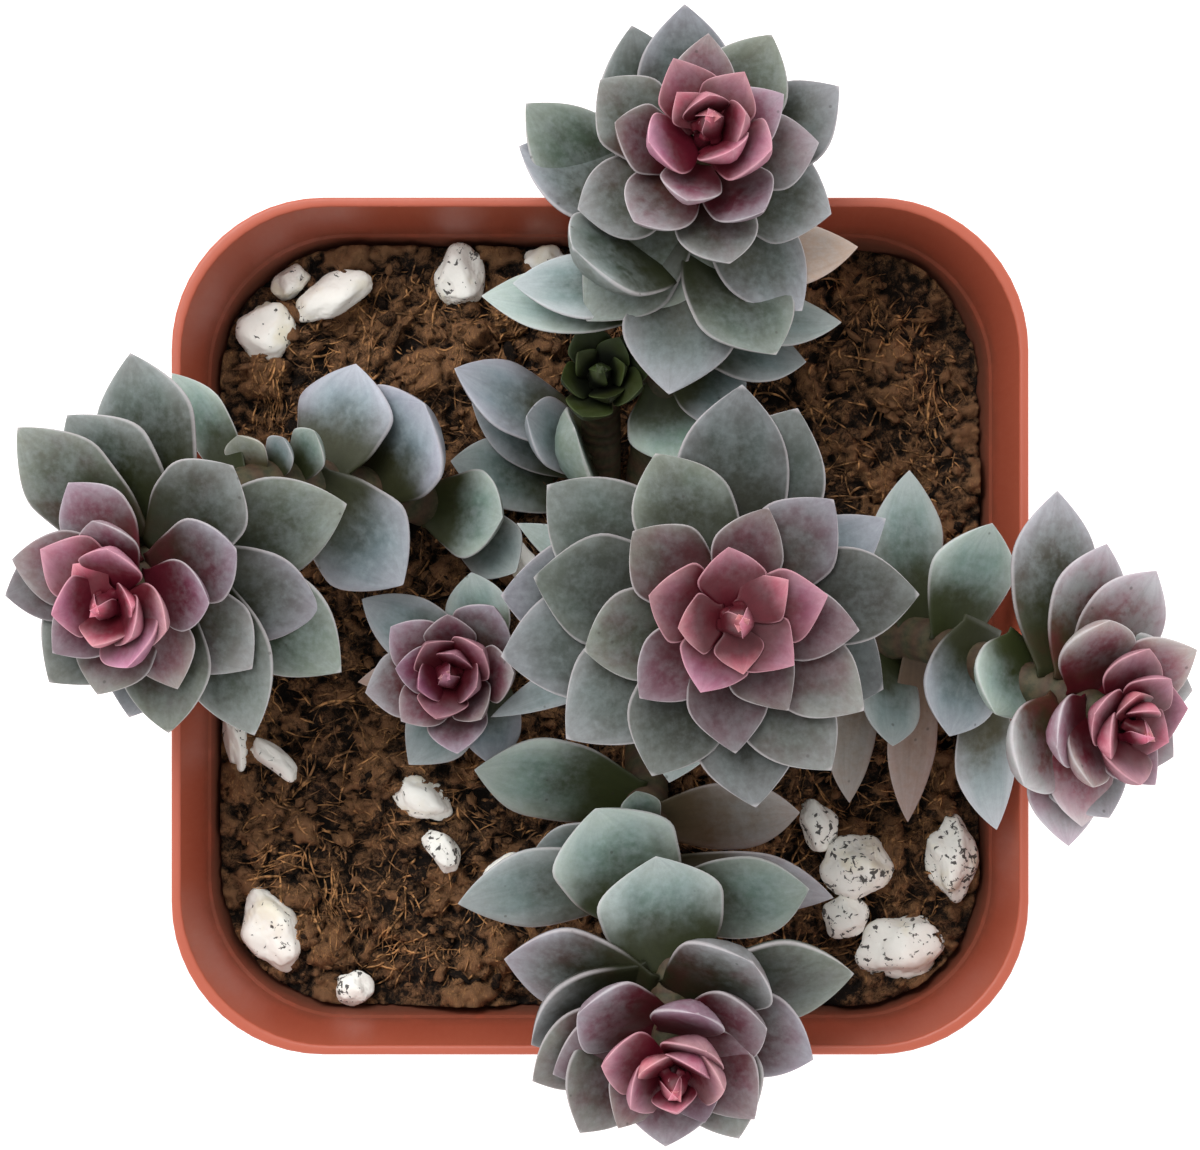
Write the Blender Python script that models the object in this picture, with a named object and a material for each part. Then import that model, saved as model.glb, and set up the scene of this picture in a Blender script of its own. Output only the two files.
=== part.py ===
"""Potted cremnosedum: leafy succulent stems in a square plastic pot.

Metres, +Z up. The origin is the centre of the pot's flat underside, +Y is the far side
of the pot and +X its right side. Sizes below are written in millimetres times MM.
"""
import math

import bmesh
import bpy
from mathutils import Matrix, Vector, noise

MM = 0.001
SHARP = math.radians(35)

# Pot: square with rounded corners, a collar round its top and a step inside the collar.
POT_WIDTH = 76.0 * MM
POT_HEIGHT = 66.0 * MM
POT_CORNER = 13.5 * MM
POT_BASE_WIDTH = 54.0 * MM
LIP = 0.85 * MM
COLLAR_HEIGHT = 11.0 * MM
COLLAR_STEP_OUT = 1.4 * MM
COLLAR_TAPER = 0.5 * MM
INNER_STEP_DEPTH = 9.5 * MM
INNER_STEP_IN = 0.25 * MM
INNER_STEP_RISE = 0.4 * MM
EDGE_ROUND = 0.35 * MM
WALL = 1.1 * MM
FLOOR = 1.5 * MM
DRAIN_DIAMETER = 6.0 * MM
DRAIN_OFFSET = 15.0 * MM
DRAIN_SIDES = 12
CORNER_POINTS = 6

# Soil: fills the pot to 12 mm below its rim, with a lumpy top.
SOIL_LEVEL = 54.0 * MM
SOIL_RINGS = 10
SOIL_LUMPS = ((9.0 * MM, 2.4 * MM), (4.4 * MM, 2.0 * MM))
CLEARANCE = 0.3 * MM
HOLE_SIDES = 10
HOLE_GAP = 0.9 * MM
HOLE_BELOW = 1.5 * MM
HOLE_ABOVE = 6.0 * MM
POCKET_GAP = 0.36 * MM

# Leaves grow from the tip of each stem down, each turned from the last by the same angle.
LEAF_LENGTH = 1.05 * MM
LEAF_GROWTH = 0.78
# How many degrees the youngest leaves open from the stem: they close over each other as a bud.
BUD_OPEN = (-32.0, -20.0, -8.0, 6.0, 22.0)
OPEN_FIRST = 25.0
OPEN_RANGE = 62.0
OPEN_POWER = 0.75
OPEN_LEAVES = 33
OPEN_MOST = 1.1
SPACING = 0.11 * MM
BASE_RADIUS = 0.85 * MM
BASE_GROWTH = 0.06 * MM
BASE_MOST = 2.4 * MM
LEAF_WIDTH_RATIO = 0.60
LEAF_WIDTH_EXTRA = 1.0 * MM
LEAF_SAG = 0.05
LEAF_SUNK = 0.6 * MM
# Along the leaf: place, half width as a share of the widest, keel depth as a share of the width.
LEAF_RINGS = (
    (0.30, 0.86, 0.25),
    (0.60, 1.00, 0.24),
    (0.86, 0.66, 0.16),
)
LEAF_FOOT = (0.52, 0.17)
# The youngest leaves are widest nearer their foot; leaves from GROWN on have the full shape.
YOUNG_SHIFT = 0.66
GROWN = 20
# The oldest leaves of a rosette and those along a stem roll towards facing up.
ROSETTE_FACE_UP = 0.9
STEM_FACE_UP = 0.8

# The young leaves form a heart of their own colour, which sits on the end of its stem.
HEART_CORE = 1.15 * MM
HEART_CORE_TOP = 0.46 * MM
HEART_TOP = 0.5 * MM
HEART_BASE = 0.8 * MM
BARE_TOP = 1.5 * MM
HEART_GAP = 1.6 * MM

STEM_SIDES = 7
STEM_RADIUS = 1.9 * MM
STEM_TOP_RADIUS = 1.5 * MM
STEM_NECK_RADIUS = 2.3 * MM
STEM_NECK = 5.0 * MM
STEM_STEP = 3.0 * MM
ROOT_OFF = 1.15 * MM
BENT_END = 12.0 * MM
BENT_STEPS = 12

# Each stem: the path of its centre line from the soil up, its tip, how many degrees it leans
# towards +X and +Y there and bends for each mm below, its leaves' size, first angle, turn from
# leaf to leaf, growth in spacing, how many leaves its rosette has and how many are the heart.
STEMS = {
    "centre": {
        "path": ((10.0, 1.0, 47.0), (10.6, 0.9, 60.0), (10.4, 1.0, 70.0)),
        "tip": (11.3, 0.5, 92.0), "lean": (11.0, -8.0), "bend": (-0.8, 0.6),
        "size": 1.0, "first": 151.0, "turn": 139.1, "spacing": 0.005, "leaves": 36, "heart": 13,
        "breadth": 1.0,
    },
    "left": {
        "path": ((-8.5, 8.5, 47.0), (-12.0, 9.8, 56.0), (-18.0, 11.5, 62.0), (-25.0, 12.8, 67.0),
                 (-31.0, 12.0, 71.0)),
        "tip": (-41.9, 1.8, 84.0), "lean": (-19.7, -14.0), "bend": (-1.4, -2.8),
        "size": 0.9, "first": 134.5, "turn": 137.6, "spacing": 0.007, "leaves": 36, "heart": 14,
        "breadth": 1.06,
    },
    "top": {
        "path": ((3.5, 8.0, 47.0), (4.2, 13.0, 56.5), (5.4, 20.0, 63.0), (6.6, 27.0, 68.0)),
        "tip": (9.2, 42.1, 86.0), "lean": (7.0, 20.0), "bend": (-0.6, -0.4),
        "size": 0.92, "first": 248.9, "turn": 138.8, "spacing": 0.012, "leaves": 36, "heart": 13,
        "breadth": 1.0,
    },
    "right": {
        "path": ((14.5, -3.0, 47.0), (17.0, -2.5, 56.0), (23.0, -1.5, 62.0), (28.5, -1.2, 66.5)),
        "tip": (45.8, -8.9, 80.0), "lean": (35.6, -24.8), "bend": (2.7, 0.3),
        "size": 0.85, "first": 66.0, "turn": -138.6, "spacing": 0.008, "leaves": 34, "heart": 14,
        "breadth": 1.18,
    },
    "bottom": {
        "path": ((4.5, -7.0, 47.0), (4.2, -11.0, 56.0), (4.2, -18.0, 62.5), (4.6, -24.0, 66.5)),
        "tip": (6.3, -39.0, 80.0), "lean": (4.0, -32.0), "bend": (-0.7, -4.0),
        "size": 0.9, "first": 50.6, "turn": -137.3, "spacing": 0.008, "leaves": 32, "heart": 12,
        "breadth": 1.2,
    },
    "side": {
        "path": ((-6.5, -2.0, 47.0), (-9.5, -3.2, 57.0)),
        "tip": (-13.2, -4.3, 73.0), "lean": (-5.0, -3.0), "bend": (-2.0, 0.0),
        "size": 0.78, "first": 100.0, "turn": 137.5, "spacing": 0.005, "leaves": 20, "heart": 11,
        "breadth": 1.0,
    },
    "shade": {
        "path": ((-0.5, 10.5, 47.0), (0.0, 12.5, 55.0)),
        "tip": (0.1, 22.1, 69.0), "lean": (0.0, 10.0), "bend": (0.0, 4.0),
        "size": 0.76, "first": 40.0, "turn": 137.5, "spacing": 0.005, "leaves": 14, "heart": 0,
        "breadth": 1.0,
    },
}

# Where the tips of each rosette's leaves are seen from VIEW_HEIGHT, straight above the middle of
# the pot: x and y in mm at the rim's level, youngest first. The few younger still follow the rule.
VIEW_HEIGHT = 466.0 * MM
FIRST_SEEN = 5
TIPS_SEEN = {
    "centre": (
        (12.7, -4.3), (16.7, 4.1), (6.9, -0.2), (17.2, -3.5), (11.4, 7.0), (8.9, -5.9),
        (20.2, 2.7), (4.3, 2.7), (16.7, -7.5), (14.9, 10.5), (23.0, -0.4), (3.5, -6.4),
        (12.0, -11.3), (2.9, 8.4), (23.4, -7.5), (20.7, 11.2), (-1.4, -2.2), (20.5, -12.8),
        (28.3, 2.8), (4.6, -13.3), (4.9, 15.3), (13.8, -16.1), (-3.0, -10.0), (-5.9, 4.3),
        (12.6, 21.4), (-4.7, 12.5), (-8.8, -2.7), (17.5, 19.3), (-8.8, 2.7), (25.1, -5.6),
    ),
    "left": (
        (-41.5, 1.6), (-46.7, 5.5), (-45.0, -1.8), (-41.5, -1.0), (-48.6, 1.0), (-43.7, 6.8),
        (-38.4, -0.4), (-49.6, 6.8), (-41.9, -3.7), (-45.0, 9.3), (-48.5, -2.4), (-34.6, 2.0),
        (-37.4, -5.6), (-52.1, 5.9), (-47.1, 12.7), (-44.5, -6.1), (-32.2, 6.8), (-52.7, 2.7),
        (-30.8, -3.8), (-38.2, -9.5), (-51.6, 17.6), (-32.5, 14.2), (-24.7, 1.2), (-48.8, -5.0),
        (-22.4, 10.8), (-30.6, -9.7), (-47.2, 18.7), (-41.7, -8.1), (-22.9, -4.1), (-41.6, 24.2),
    ),
    "top": (
        (6.8, 47.3), (9.7, 47.0), (12.9, 45.4), (11.8, 42.2), (12.8, 49.1), (6.5, 50.3),
        (4.3, 42.9), (15.2, 42.2), (7.7, 37.7), (16.3, 47.1), (9.6, 52.5), (1.3, 44.6),
        (14.5, 36.7), (3.0, 35.8), (19.4, 42.8), (11.5, 32.1), (0.0, 48.4), (-2.0, 36.9),
        (15.2, 52.4), (20.5, 36.5), (5.0, 27.7), (21.2, 47.8), (17.9, 27.9), (-1.2, 27.0),
        (7.5, 55.1), (2.8, 53.2), (-7.2, 42.5), (15.6, 24.0), (6.1, 20.5), (-6.6, 46.3),
        (-2.4, 33.5),
    ),
    "right": (
        (49.6, -7.6), (47.9, -6.0), (50.4, -10.3), (45.2, -11.3), (43.8, -7.8), (50.6, -4.7),
        (47.9, -14.1), (52.1, -7.3), (48.7, -2.0), (49.2, -14.1), (43.7, -14.3), (40.5, -10.8),
        (52.9, -2.1), (42.7, -17.8), (45.2, 0.5), (50.8, -11.6), (41.5, -19.5), (49.3, 4.9),
        (37.6, -14.2), (44.9, 7.3), (45.1, -17.0), (52.5, -5.7), (40.5, 12.0),
    ),
    "bottom": (
        (6.8, -43.1), (3.7, -39.5), (8.8, -39.5), (2.7, -42.8), (11.0, -41.2), (9.4, -37.7),
        (0.1, -39.0), (9.3, -44.0), (1.6, -44.5), (14.0, -39.9), (8.7, -34.4), (13.7, -43.7),
        (-4.2, -39.7), (14.8, -35.7), (-2.0, -34.4), (5.8, -46.1), (-6.0, -40.3), (-1.8, -44.9),
        (18.9, -38.4), (12.3, -45.4), (13.5, -29.8), (-8.5, -29.5), (22.5, -30.8), (-6.1, -37.1),
    ),
}

# Older leaves along the stems: distance from the stem's tip, leaf tip and width, all in mm, and
# for a leaf that lies over its stem how far its root is off the stem's centre line.
STEM_LEAVES = {
    "centre": (
        (14.0, (24.7, 9.3, 76.0), 7.0),
        (18.0, (-7.3, 9.0, 71.0), 4.6),
        (20.0, (-9.6, -8.0, 70.0), 4.0),
        (16.0, (6.0, -13.6, 74.0), 8.0),
    ),
    "left": (
        (33.0, (-15.4, 19.5, 70.0), 11.6),
        (28.0, (-21.6, 23.2, 66.5), 10.0),
        (20.0, (-37.6, 22.2, 69.5), 5.0),
        (39.0, (-8.6, 9.6, 67.0), 8.0),
        (43.0, (-7.5, 4.8, 63.0), 6.0),
        (36.0, (-17.7, 15.6, 66.0), 3.0),
        (26.0, (-17.3, 3.6, 69.0), 10.2),
        (23.0, (-27.6, 16.4, 73.0), 3.6),
        (22.0, (-31.6, 16.6, 72.5), 4.2),
        (25.0, (-24.9, 17.0, 73.0), 4.4),
    ),
    "top": (
        (23.0, (-10.4, 28.9, 70.5), 7.4),
        (21.0, (-7.6, 29.8, 73.0), 7.4),
        (23.0, (21.4, 26.9, 66.0), 6.6),
        (18.5, (22.6, 33.2, 70.5), 7.4),
        (27.0, (18.3, 23.4, 65.5), 7.0),
        (33.0, (6.6, 14.2, 66.0), 8.4, (0.4, 0.0, 1.6)),
        (30.0, (12.8, 19.4, 66.5), 7.6),
    ),
    "right": (
        (24.0, (27.4, 13.8, 66.0), 7.2),
        (20.5, (34.3, 9.0, 71.0), 8.6),
        (27.0, (25.8, -10.6, 68.0), 6.2),
        (19.0, (30.4, -9.6, 73.0), 8.6, (1.6, 2.2, 1.8)),
        (14.0, (34.0, -7.6, 78.0), 8.0, (1.4, 2.4, 2.0)),
        (16.0, (35.0, -18.0, 67.5), 6.0),
        (29.0, (22.4, -15.9, 60.5), 5.0),
        (24.0, (27.6, -17.6, 61.0), 5.0),
    ),
    "bottom": (
        (31.0, (-11.2, -12.8, 64.0), 9.0),
        (29.0, (17.8, -16.6, 64.0), 7.6),
        (24.0, (20.8, -24.2, 64.0), 6.6),
        (23.0, (-12.6, -24.6, 66.0), 8.6),
        (20.0, (18.3, -23.0, 71.0), 8.6),
        (19.0, (-0.4, -15.8, 75.0), 11.4, (-1.0, 0.0, 1.4)),
        (12.0, (4.8, -19.8, 77.5), 11.2, (0.0, 0.0, 1.6)),
        (27.0, (-6.2, -20.6, 61.0), 5.6),
        (27.0, (3.2, -14.6, 66.5), 3.6),
    ),
    "side": (
        (13.0, (-21.6, -5.0, 63.0), 3.6),
        (11.0, (-17.1, -12.4, 62.0), 6.4),
        (12.0, (-9.8, -12.4, 62.0), 5.6),
        (11.0, (-21.2, 2.4, 64.0), 6.0),
        (11.5, (-11.5, 4.8, 63.0), 6.0),
    ),
    "shade": (
        (11.0, (-12.9, 22.8, 66.0), 7.4),
        (14.5, (-11.5, 20.0, 60.5), 5.6),
        (13.0, (-6.5, 18.6, 66.0), 7.0),
        (15.0, (-2.2, 17.4, 69.0), 8.6),
        (18.0, (-13.4, 14.8, 61.0), 7.0),
    ),
}

# Perlite chips: centre, length, width and height in mm, turn in degrees.
CHIPS = (
    (-30.2, 26.9, 54.6, 5.0, 4.8, 4.2, -30.0),
    (-28.2, 31.3, 54.6, 3.2, 2.6, 3.0, 40.0),
    (-24.2, 30.2, 55.2, 6.6, 4.0, 3.6, 27.0),
    (-12.8, 31.8, 54.8, 4.2, 5.4, 4.0, 0.0),
    (-5.2, 33.4, 54.6, 3.4, 2.2, 2.6, 10.0),
    (-7.0, 5.6, 55.0, 2.2, 3.4, 2.6, 20.0),
    (-33.2, -10.2, 54.8, 2.0, 5.2, 3.0, 10.0),
    (-29.6, -12.2, 55.0, 5.2, 2.0, 2.6, -40.0),
    (-30.0, -27.6, 55.0, 4.4, 7.0, 4.2, 30.0),
    (-22.4, -33.0, 54.6, 3.2, 2.8, 2.6, 0.0),
    (-14.4, -20.4, 54.6, 2.6, 4.2, 3.0, 30.0),
    (-8.6, -22.8, 54.8, 4.4, 3.4, 3.0, 40.0),
    (19.8, -18.2, 54.8, 3.4, 4.4, 3.4, 10.0),
    (23.3, -21.6, 55.2, 5.6, 5.2, 4.6, 30.0),
    (22.5, -26.6, 54.8, 3.6, 3.8, 3.0, 20.0),
    (31.9, -21.2, 55.2, 4.3, 7.0, 4.6, 8.0),
    (27.4, -29.4, 55.0, 7.2, 5.6, 4.4, 15.0),
    (-16.2, -15.6, 54.8, 5.0, 3.6, 3.0, -35.0),
)
CHIP_ROUGHNESS = 0.22
CHIP_SEED = 7
LARGE_CHIP = 4.5


def srgb(red, green, blue):
    """A colour given in display values, as the linear colour that a material takes."""
    return tuple(
        (v / 255 / 12.92) if v <= 10 else ((v / 255 + 0.055) / 1.055) ** 2.4
        for v in (red, green, blue)
    ) + (1.0,)


def make_material(name, color, roughness):
    material = bpy.data.materials.new(name)
    material.use_nodes = True
    shader = material.node_tree.nodes["Principled BSDF"]
    shader.inputs["Base Color"].default_value = color
    shader.inputs["Roughness"].default_value = roughness
    shader.inputs["Metallic"].default_value = 0.0
    material.diffuse_color = color
    return material


def clear_scene():
    for obj in list(bpy.data.objects):
        bpy.data.objects.remove(obj, do_unlink=True)


def finished(mesh):
    """Triangles with their normals turned outwards."""
    shape = bmesh.new()
    shape.from_mesh(mesh)
    bmesh.ops.triangulate(shape, faces=shape.faces)
    bmesh.ops.recalc_face_normals(shape, faces=shape.faces)
    shape.to_mesh(mesh)
    shape.free()
    return mesh


def add_object(name, points, faces, material=None, collection=None):
    mesh = bpy.data.meshes.new(name)
    mesh.from_pydata([tuple(p) for p in points], [], faces)
    obj = bpy.data.objects.new(name, finished(mesh))
    if material:
        mesh.materials.append(material)
    (collection or bpy.context.scene.collection).objects.link(obj)
    return obj


def shade_smooth(obj):
    """Smooth shading, with the edges sharper than SHARP kept crisp."""
    obj.data.polygons.foreach_set("use_smooth", [True] * len(obj.data.polygons))
    obj.data.set_sharp_from_angle(angle=SHARP)


def ring_faces(rings, count):
    """Quads between rings of points that follow each other, with a cap on each end."""
    faces = [tuple(reversed(range(count)))]
    for k in range(rings - 1):
        low, high = k * count, (k + 1) * count
        for j in range(count):
            n = (j + 1) % count
            faces.append((low + j, low + n, high + n, high + j))
    faces.append(tuple(range((rings - 1) * count, rings * count)))
    return faces


def apply_boolean(obj, operation, cutters, solver="EXACT"):
    """Joins or cuts the object with a collection of others, applies it and removes them."""
    modifier = obj.modifiers.new(operation.lower(), "BOOLEAN")
    modifier.operation = operation
    modifier.operand_type = "COLLECTION"
    modifier.collection = cutters
    modifier.solver = solver
    graph = bpy.context.evaluated_depsgraph_get()
    result = bpy.data.meshes.new_from_object(obj.evaluated_get(graph))
    obj.modifiers.clear()
    obj.data = result
    for cutter in list(cutters.objects):
        bpy.data.objects.remove(cutter, do_unlink=True)
    bpy.data.collections.remove(cutters)


def new_collection(name):
    collection = bpy.data.collections.new(name)
    bpy.context.scene.collection.children.link(collection)
    return collection


def keep_largest(mesh):
    """Drops loose scraps and the walls of sealed hollows, and keeps the one outer skin."""
    shape = bmesh.new()
    shape.from_mesh(mesh)
    left = set(shape.faces)
    skins = []
    while left:
        skin, todo = set(), [next(iter(left))]
        while todo:
            face = todo.pop()
            if face in skin:
                continue
            skin.add(face)
            todo.extend(f for edge in face.edges for f in edge.link_faces if f not in skin)
        left -= skin
        skins.append(skin)
    skins.sort(key=len)
    for skin in skins[:-1]:
        bmesh.ops.delete(shape, geom=list(skin), context="FACES")
    shape.to_mesh(mesh)
    shape.free()


# Pot


def rounded_square(half, z):
    """One loop of a square with rounded corners, whose corners shrink with its width."""
    radius = POT_CORNER * half / (POT_WIDTH / 2)
    loop = []
    for corner in range(4):
        turn = corner * math.pi / 2
        middle = Matrix.Rotation(turn, 3, "Z") @ Vector((half - radius, half - radius, 0))
        for k in range(CORNER_POINTS):
            angle = turn + math.pi / 2 * k / (CORNER_POINTS - 1)
            edge = Vector((math.cos(angle), math.sin(angle), 0)) * radius
            loop.append(middle + edge + Vector((0, 0, z)))
    return loop


def pot_half(z):
    """Half width of the pot's outer wall below its collar."""
    top = POT_WIDTH / 2 - COLLAR_STEP_OUT - COLLAR_TAPER
    share = z / (POT_HEIGHT - COLLAR_HEIGHT)
    return POT_BASE_WIDTH / 2 + (top - POT_BASE_WIDTH / 2) * share


def inner_half(z):
    return pot_half(z) - WALL


def make_pot(material):
    rim = POT_WIDTH / 2
    collar_base = POT_HEIGHT - COLLAR_HEIGHT
    step = POT_HEIGHT - INNER_STEP_DEPTH
    profile = (
        (pot_half(0) - 2 * EDGE_ROUND, 0.0),
        (pot_half(0), 2 * EDGE_ROUND),
        (pot_half(collar_base), collar_base - EDGE_ROUND),
        (rim - COLLAR_TAPER, collar_base),
        (rim, POT_HEIGHT - EDGE_ROUND),
        (rim - EDGE_ROUND, POT_HEIGHT),
        (rim - LIP + EDGE_ROUND, POT_HEIGHT),
        (rim - LIP, POT_HEIGHT - EDGE_ROUND),
        (inner_half(step) + INNER_STEP_IN, step + INNER_STEP_RISE),
        (inner_half(step), step),
        (inner_half(2 * FLOOR), 2 * FLOOR),
        (inner_half(0) - FLOOR, FLOOR),
    )
    points = [p for half, z in profile for p in rounded_square(half, z)]
    pot = add_object("pot", points, ring_faces(len(profile), 4 * CORNER_POINTS), material)
    drains = new_collection("drains")
    for x in (-DRAIN_OFFSET, DRAIN_OFFSET):
        for y in (-DRAIN_OFFSET, DRAIN_OFFSET):
            ends = [(x, y, -FLOOR), (x, y, 2 * FLOOR)]
            add_tube("drain", ends, [DRAIN_DIAMETER / 2] * 2, DRAIN_SIDES, drains)
    apply_boolean(pot, "DIFFERENCE", drains)
    shade_smooth(pot)


# Soil


def soil_height(x, y):
    """The soil's top here: its level with lumps of two sizes."""
    height = SOIL_LEVEL
    for size, depth in SOIL_LUMPS:
        height += depth * noise.noise(Vector((x / size, y / size, size / MM)))
    return height


def make_soil(material):
    count = 4 * CORNER_POINTS
    floor = FLOOR + CLEARANCE
    wall = inner_half(SOIL_LEVEL) - CLEARANCE
    points = rounded_square(inner_half(2 * FLOOR) - 2 * FLOOR, floor)
    points += rounded_square(inner_half(2 * FLOOR) - CLEARANCE, 2 * FLOOR + CLEARANCE)
    for k in range(SOIL_RINGS):
        for p in rounded_square(wall * (1 - k / SOIL_RINGS), 0):
            points.append(Vector((p.x, p.y, soil_height(p.x, p.y))))
    faces = ring_faces(SOIL_RINGS + 2, count)[:-1]
    middle = len(points)
    points.append(Vector((0, 0, soil_height(0, 0))))
    last = middle - count
    faces += [(last + j, last + (j + 1) % count, middle) for j in range(count)]
    return add_object("soil", points, faces, material)


# Perlite


def chip_points(chip, swell=0.0):
    """An uneven lump: a ball pushed in and out by noise, stretched, turned and set in place."""
    x, y, z, length, width, height, turn = chip
    shape = bmesh.new()
    bmesh.ops.create_icosphere(shape, subdivisions=2 if max(length, width) > LARGE_CHIP else 1, radius=1.0)
    start = Vector((x, y, CHIP_SEED))
    points = []
    spin = Matrix.Rotation(math.radians(turn), 3, "Z")
    for vertex in shape.verts:
        rough = 1 + CHIP_ROUGHNESS * noise.noise(vertex.co * 1.3 + start)
        p = Vector((vertex.co.x * length, vertex.co.y * width, vertex.co.z * height)) * (MM / 2)
        p = p * rough + vertex.co * swell
        points.append(spin @ p + Vector((x, y, z)) * MM)
    faces = [tuple(v.index for v in face.verts) for face in shape.faces]
    shape.free()
    return points, faces


# Stems and leaves


def lean_axis(stem, depth):
    """The stem's direction this far below its tip: it leans at the tip and bends below it."""
    lean_x, lean_y = (
        math.radians(lean + bend * depth / MM) for lean, bend in zip(stem["lean"], stem["bend"])
    )
    lean, towards = math.hypot(lean_x, lean_y), math.atan2(lean_y, lean_x)
    return Vector((math.sin(lean) * math.cos(towards), math.sin(lean) * math.sin(towards), math.cos(lean)))


def leaf_depth(i, stem, in_heart):
    """How far below the stem's tip leaf i grows; the leaves under the heart stand off it."""
    depth = stem["size"] * (SPACING * i + stem["spacing"] * MM * i * i)
    return depth if in_heart or not stem["heart"] else depth + HEART_GAP


def heart_floor(stem):
    return leaf_depth(stem["heart"] - 1, stem, True) + HEART_BASE


def leaf_count(name, stem):
    seen = TIPS_SEEN.get(name)
    return FIRST_SEEN + len(seen) if seen else stem["leaves"]


def tip_where_seen(root, axis, seen, length, opened):
    """The point on the line of sight to the seen place that is a leaf's length from its root.

    Of the two such points it takes the one whose angle to the stem is nearer the rule's; where
    the line passes farther off than the leaf's length it takes the nearest point of the line.
    """
    reach = VIEW_HEIGHT - POT_HEIGHT
    start = Vector((seen[0], seen[1], 0)) * MM * (VIEW_HEIGHT / reach)
    way = Vector((-seen[0] * MM / reach, -seen[1] * MM / reach, 1.0))
    away = start - root
    half = -away.dot(way) / way.length_squared
    room = half * half - (away.length_squared - length * length) / way.length_squared
    if room <= 0:
        return start + way * half
    tips = [start + way * (half + sign * math.sqrt(room)) for sign in (-1, 1)]
    return min(tips, key=lambda tip: abs((tip - root).angle(axis) - opened))


def rosette_leaf(name, stem, line, i):
    """Root, tip, upward direction, width and shape shift of leaf i, counted from the stem's tip."""
    size = stem["size"]
    length = size * LEAF_LENGTH * (min(i, OPEN_LEAVES) + 1) ** LEAF_GROWTH
    age = i / OPEN_LEAVES
    grown = min(i / GROWN, 1)
    opened = math.radians(OPEN_FIRST + OPEN_RANGE * min(age, OPEN_MOST) ** OPEN_POWER)
    if i < len(BUD_OPEN):
        opened = math.radians(BUD_OPEN[i])
    turn = math.radians(stem["first"] + stem["turn"] * i)
    middle, axis = point_along(line, leaf_depth(i, stem, i < stem["heart"]))
    if i >= FIRST_SEEN and name in TIPS_SEEN:
        tip = tip_where_seen(middle, axis, TIPS_SEEN[name][i - FIRST_SEEN], length, opened)
        radial = tip - middle
        radial = (radial - axis * radial.dot(axis)).normalized()
        opened = (tip - middle).angle(axis)
    else:
        level = Vector((math.cos(turn), math.sin(turn), 0))
        radial = Vector((0, 0, 1)).rotation_difference(axis) @ level
        tip = middle + (axis * math.cos(opened) + radial * math.sin(opened)) * length
    root = middle + radial * size * min(BASE_RADIUS + BASE_GROWTH * i, BASE_MOST)
    width = (length * LEAF_WIDTH_RATIO + LEAF_WIDTH_EXTRA * size) * (1 + (stem["breadth"] - 1) * grown)
    shift = YOUNG_SHIFT + (1 - YOUNG_SHIFT) * grown
    inward = axis * math.sin(opened) - radial * math.cos(opened)
    return root, tip, inward + Vector((0, 0, ROSETTE_FACE_UP * grown ** 2)), width, shift


def smooth_line(points, steps=8):
    """A smooth curve through the points, with some steps between each two of them."""
    ends = [2 * points[0] - points[1]] + list(points) + [2 * points[-1] - points[-2]]
    line = []
    for a, b, c, d in zip(ends, ends[1:], ends[2:], ends[3:]):
        for k in range(steps):
            t = k / steps
            line.append((2 * b + (c - a) * t + (2 * a - 5 * b + 4 * c - d) * t ** 2
                         + (3 * b - a - 3 * c + d) * t ** 3) / 2)
    return line + [points[-1]]


def stem_line(stem):
    """The stem's centre line from its tip down: through its bent end, then through its path."""
    point = Vector(stem["tip"]) * MM
    bent = [point]
    step = BENT_END / BENT_STEPS
    for k in range(BENT_STEPS):
        point = point - lean_axis(stem, step * (k + 0.5)) * step
        bent.append(point)
    path = [Vector(p) * MM for p in stem["path"]]
    return smooth_line(path + bent[::-3])[::-1]


def point_along(line, distance):
    """The point this far along the line, and the direction back to its start there."""
    for a, b in zip(line, line[1:]):
        step = (b - a).length
        if distance <= step:
            return a.lerp(b, distance / step), (a - b).normalized()
        distance -= step
    return line[-1], (line[-2] - line[-1]).normalized()


def line_length(line):
    return sum((b - a).length for a, b in zip(line, line[1:]))


def add_tube(name, centres, radii, sides, collection=None, material=None):
    """A tube with flat ends through the centres, turned as little as possible on its way."""
    centres = [Vector(c) for c in centres]
    points = []
    side = None
    for k, centre in enumerate(centres):
        ahead = (centres[min(k + 1, len(centres) - 1)] - centres[max(k - 1, 0)]).normalized()
        side = ahead.orthogonal() if side is None else side - ahead * side.dot(ahead)
        side.normalize()
        other = ahead.cross(side)
        for j in range(sides):
            angle = 2 * math.pi * j / sides
            points.append(centre + (side * math.cos(angle) + other * math.sin(angle)) * radii[k])
    return add_object(name, points, ring_faces(len(centres), sides), material, collection)


def add_leaf(name, root, tip, upper, width, shift, collection):
    """A fleshy pointed leaf: a flat upper face, two edges and a keel below."""
    along = tip - root
    length = along.length
    along.normalize()
    upper = (upper - along * upper.dot(along)).normalized()
    across = upper.cross(along)
    points = []
    foot = (-LEAF_SUNK / length,) + LEAF_FOOT
    rings = [(place * shift, spread, keel) for place, spread, keel in LEAF_RINGS]
    for place, spread, keel in [foot] + rings:
        middle = root + along * (place * length)
        middle -= upper * (LEAF_SAG * length * 4 * max(place, 0) * (1 - place))
        half = width / 2 * spread
        points += [
            middle + across * half,
            middle - across * half,
            middle - upper * (keel * width),
        ]
    last = 3 * len(rings)
    faces = ring_faces(1 + len(rings), 3)[:-1]
    points.append(tip)
    faces += [(last + j, last + (j + 1) % 3, last + 3) for j in range(3)]
    return add_object(name, points, faces, None, collection)


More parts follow.
